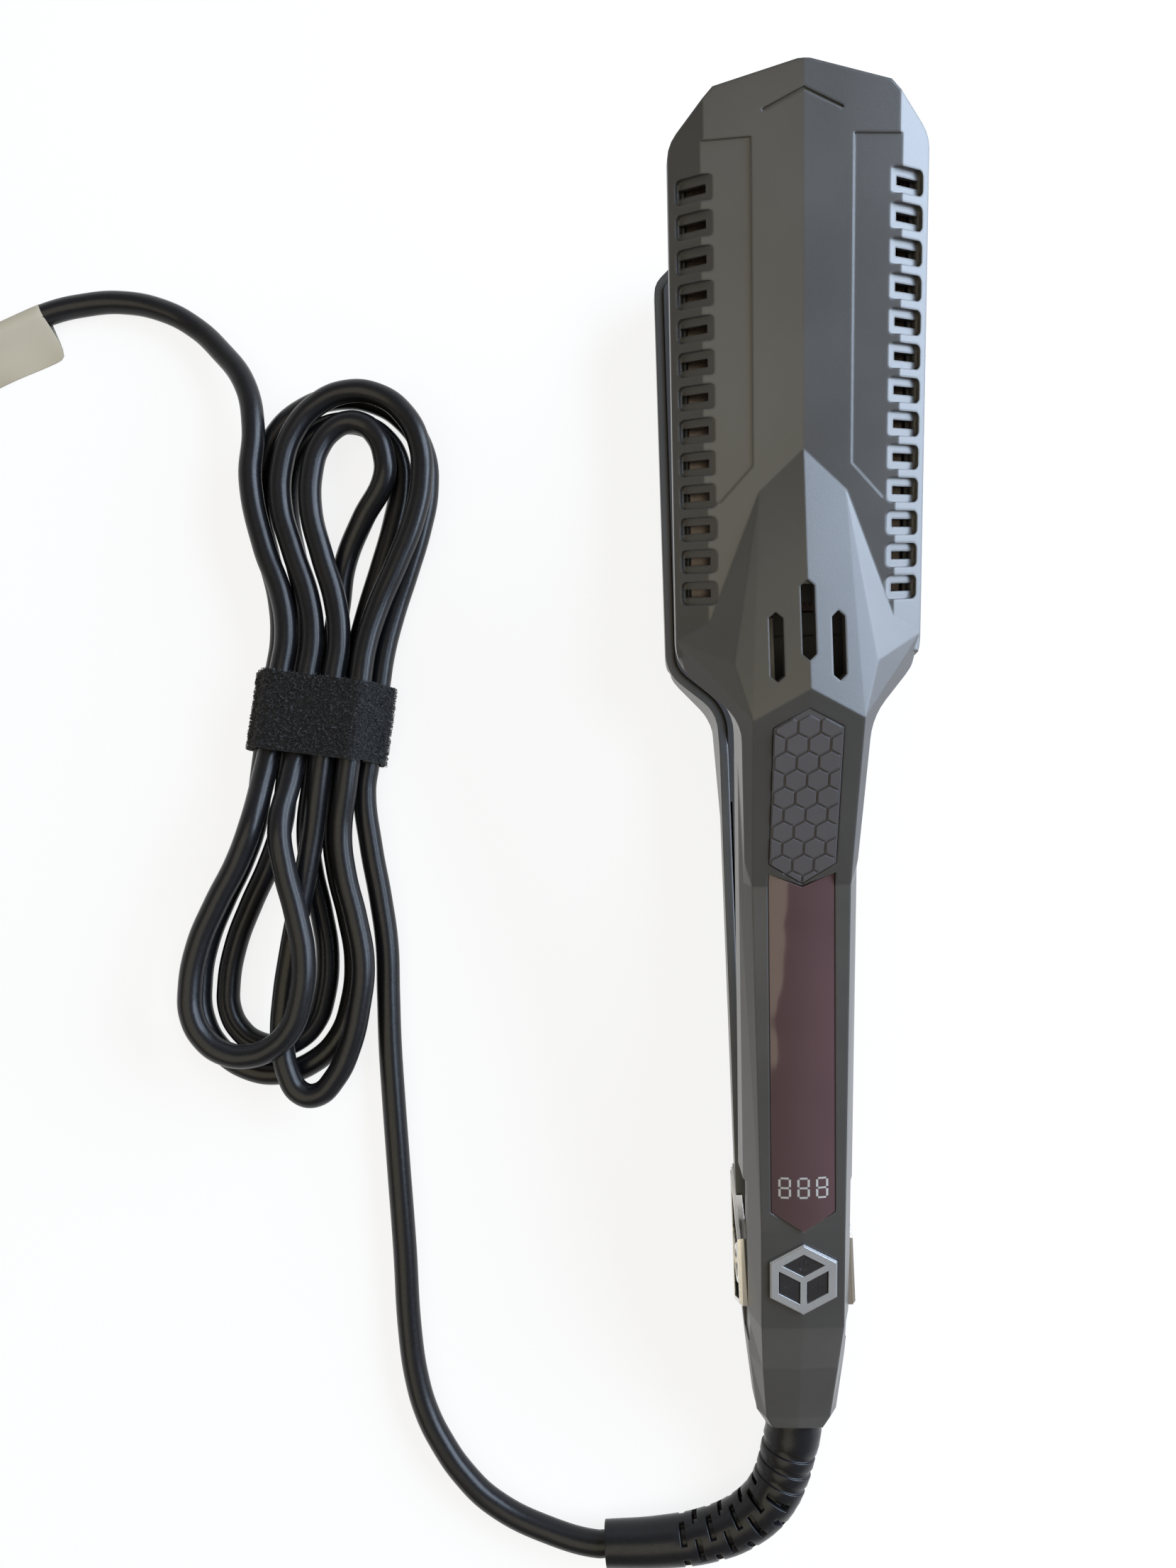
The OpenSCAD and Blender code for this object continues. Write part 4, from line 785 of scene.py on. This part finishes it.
def plateCeramic():
    r = Recipe("plateCeramic")
    speck = r.noise(2600, 3)
    cloud = r.noise(40, 2)
    return r.finish(Base_Color=r.blend(cloud, (0.060, 0.044, 0.038), (0.080, 0.058, 0.050)),
                    Metallic=0.35, Roughness=0.22 + speck * 0.1,
                    Normal=r.bump(speck, 0.00001, 0.4, r.rounded(0.0004)))


def plainWorks(name, tone, rough=0.5, scale=600):
    r = Recipe(name)
    cloud = r.noise(scale / 8, 3)
    grain = r.noise(scale * 4, 2)
    return r.finish(Base_Color=r.blend(cloud, tuple(c * 0.85 for c in tone), tone),
                    Roughness=rough + grain * 0.12,
                    Normal=r.bump(grain, 0.00003, 0.5, r.rounded(0.0002)))


housing = softTouch()
mouldedParts = mouldedBlack()
chrome = polished("chrome", (0.62, 0.60, 0.57))
steel = polished("steel", (0.42, 0.44, 0.46), 0.22, 0.2)
aluminium = polished("aluminium", (0.46, 0.48, 0.50), 0.3, 0.2)
brass = polished("brass", (0.62, 0.45, 0.20), 0.2, 0.15)
silicone = plainWorks("silicone", (0.50, 0.07, 0.04), 0.5)
sleeve = plainWorks("glassSleeve", (0.50, 0.46, 0.40), 0.7, 1800)
boardGreen = plainWorks("boardGreen", (0.010, 0.075, 0.022), 0.3)
ivory = plainWorks("ivory", (0.62, 0.60, 0.44), 0.5)
whiteCeramic = plainWorks("whiteCeramic", (0.66, 0.62, 0.54), 0.45)
plateFinish = plateCeramic()
button = glossButton()
cordBlack = rubberCord()
nodeFinish = {
    "lower_shell": housing, "upper_shell": housing,
    "lower_inner_cover": mouldedParts, "upper_inner_cover": mouldedParts,
    "lower_head_frame": mouldedParts, "upper_head_frame": mouldedParts,
    "lower_plate": plateFinish, "upper_plate": plateFinish,
    "lower_plate_carrier": mouldedParts, "upper_plate_carrier": mouldedParts,
    "lower_heater": whiteCeramic, "upper_heater": whiteCeramic,
    "lower_heat_shield": aluminium, "upper_heat_shield": aluminium,
    "lower_screws": steel, "upper_screws": steel, "terminal_block": ivory,
    "hinge_pin": steel, "hinge_bezel_left": chrome, "hinge_bezel_right": chrome,
    "pivot_cap_left": chrome, "pivot_cap_right": chrome, "swivel_retainer": steel,
    "grip_pad": tiledRubber(), "display_lens": smokedLens(),
    "display_panel": mouldedParts, "display_digits": segmentGrey(),
    "button_frame": satinSilver(), "control_board": boardGreen,
    "tact_switches": steel, "thermal_fuse": aluminium,
    "power_button": button, "minus_button": button, "plus_button": button,
    "swivel_core": mouldedParts, "slip_rings": brass, "plug_blades": brass}
for name, material in nodeFinish.items():
    dress(nodes[name], material)
for piece in (cord, boot, plug):
    dress(piece, cordBlack)
dress(tie, tape("tapeBack", (0.004, 0.004, 0.005), (0.010, 0.010, 0.012)))
# Painted highlight: the pile's paler flecks partly stand for light caught on the fibre loops.
# The rest is random tone.
dress(pile, tape("tapePile", (0.006, 0.006, 0.007), (0.075, 0.076, 0.080)))
dress(tag, paper())

# Every new piece rides on its body; the spring rides on none.
for piece, stoodFor, slot in ((cord, ("cord_lead", "cord_hank", "cord_tail"), "cord_rubber"),
                              (boot, ("strain_relief",), "cord_rubber"),
                              (tie, ("hank_tie",), "tie_fabric"),
                              (pile, ("hank_tie",), "tie_fabric"),
                              (tag, ("cord_tag",), "tag_paper"),
                              (plug, ("plug_body",), "cord_rubber")):
    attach(piece, "cord")
    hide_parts(*stoodFor)
for name, body, stoodFor, slot in (
        ("lowerWires", "lower_arm", ("lower_leads",), "wire_cover"),
        ("upperWires", "upper_arm", ("upper_leads",), "wire_cover"),
        ("hingeSpring", None, ("hinge_spring",), "steel"),
        ("lowerPads", "lower_arm", ("lower_float_pads",), "silicone"),
        ("upperPads", "upper_arm", ("upper_pads_rear", "upper_pads_front"), "silicone")):
    if body:
        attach(inside[name], body)
    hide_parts(*stoodFor)
    dress(inside[name], {"wire_cover": sleeve, "steel": steel, "silicone": silicone}[slot])
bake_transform(inside["hingeSpring"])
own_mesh(inside["lowerPads"], "lower_plate_float", (0, 0, 1),
          lowerPoint(0, 200, padSizes["foot"]), padSizes["keep"])
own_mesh(inside["upperPads"], "upper_plate_float",
          upperPoint(0, 0, 1) - upperPoint(0, 0, 0),
          upperPoint(0, 200, padSizes["foot"]), padSizes["keep"])

# Floor, lights and world
# Area lamps aimed at the middle: watts, colour, place, width and height
lighting = {"window": (54, (0.66, 0.80, 1.0), (1.06, 0.38, 0.50), 1.3, 1.1),
            "ceiling": (9.5, (1.0, 0.90, 0.66), (-0.47, -0.3, 1.3), 1.04, 1.6)}
clearSelection()
floor = {"size": 1.9, "glow": 0.85}
bpy.ops.mesh.primitive_plane_add(size=floor["size"])
ground = named("ground")
g = Recipe("ground")
g.finish(Base_Color=(0.9, 0.9, 0.9), Roughness=0.9)
glow = g.node("ShaderNodeEmission", None, {"Color": (1, 1, 1), "Strength": 1.0})
mixed = g.node("ShaderNodeMixShader", None,
               {0: g.seen() * floor["glow"], 1: Wire(g, g.shader.outputs[0]), 2: glow})
g.tree.links.new(mixed.socket, g.tree.nodes["Material Output"].inputs[0])
dress(ground, g.material)
for name, (power, colour, place, wide, high) in lighting.items():
    lamp = bpy.data.lights.new(name, "AREA")
    lamp.shape = "RECTANGLE"
    lamp.energy, lamp.color, lamp.size, lamp.size_y = power, colour, wide, high
    holder = bpy.data.objects.new(name, lamp)
    scene.collection.objects.link(holder)
    holder.location = place
    holder.rotation_euler = (-Vector(place)).to_track_quat("-Z", "Y").to_euler()
world = bpy.data.worlds.new("world")
scene.world = world
world.use_nodes = True
sky = Recipe("sky", world)
room = {"ambient": 0.3, "lean": 0.2, "fade": (0.05, 0.55), "wall": (1, 1, 1),
        "overhead": (0.30, 0.28, 0.25)}
rays = sky.node("ShaderNodeLightPath")
look = sky.node("ShaderNodeSeparateXYZ", None, {0: sky.place.out("Generated")})
overhead = (look.out("Z") - look.out("Y") * room["lean"]).span(*room["fade"])
overhead = overhead * (1 - rays.out("Is Camera Ray"))
background = world.node_tree.nodes["Background"]
tint = sky.blend(overhead, room["wall"], room["overhead"])
world.node_tree.links.new(tint.socket, background.inputs["Color"])
strength = room["ambient"] + sky.seen() * (1 - room["ambient"])
world.node_tree.links.new(strength.socket, background.inputs["Strength"])

scene.view_settings.view_transform = "Standard"
print("scene ready")
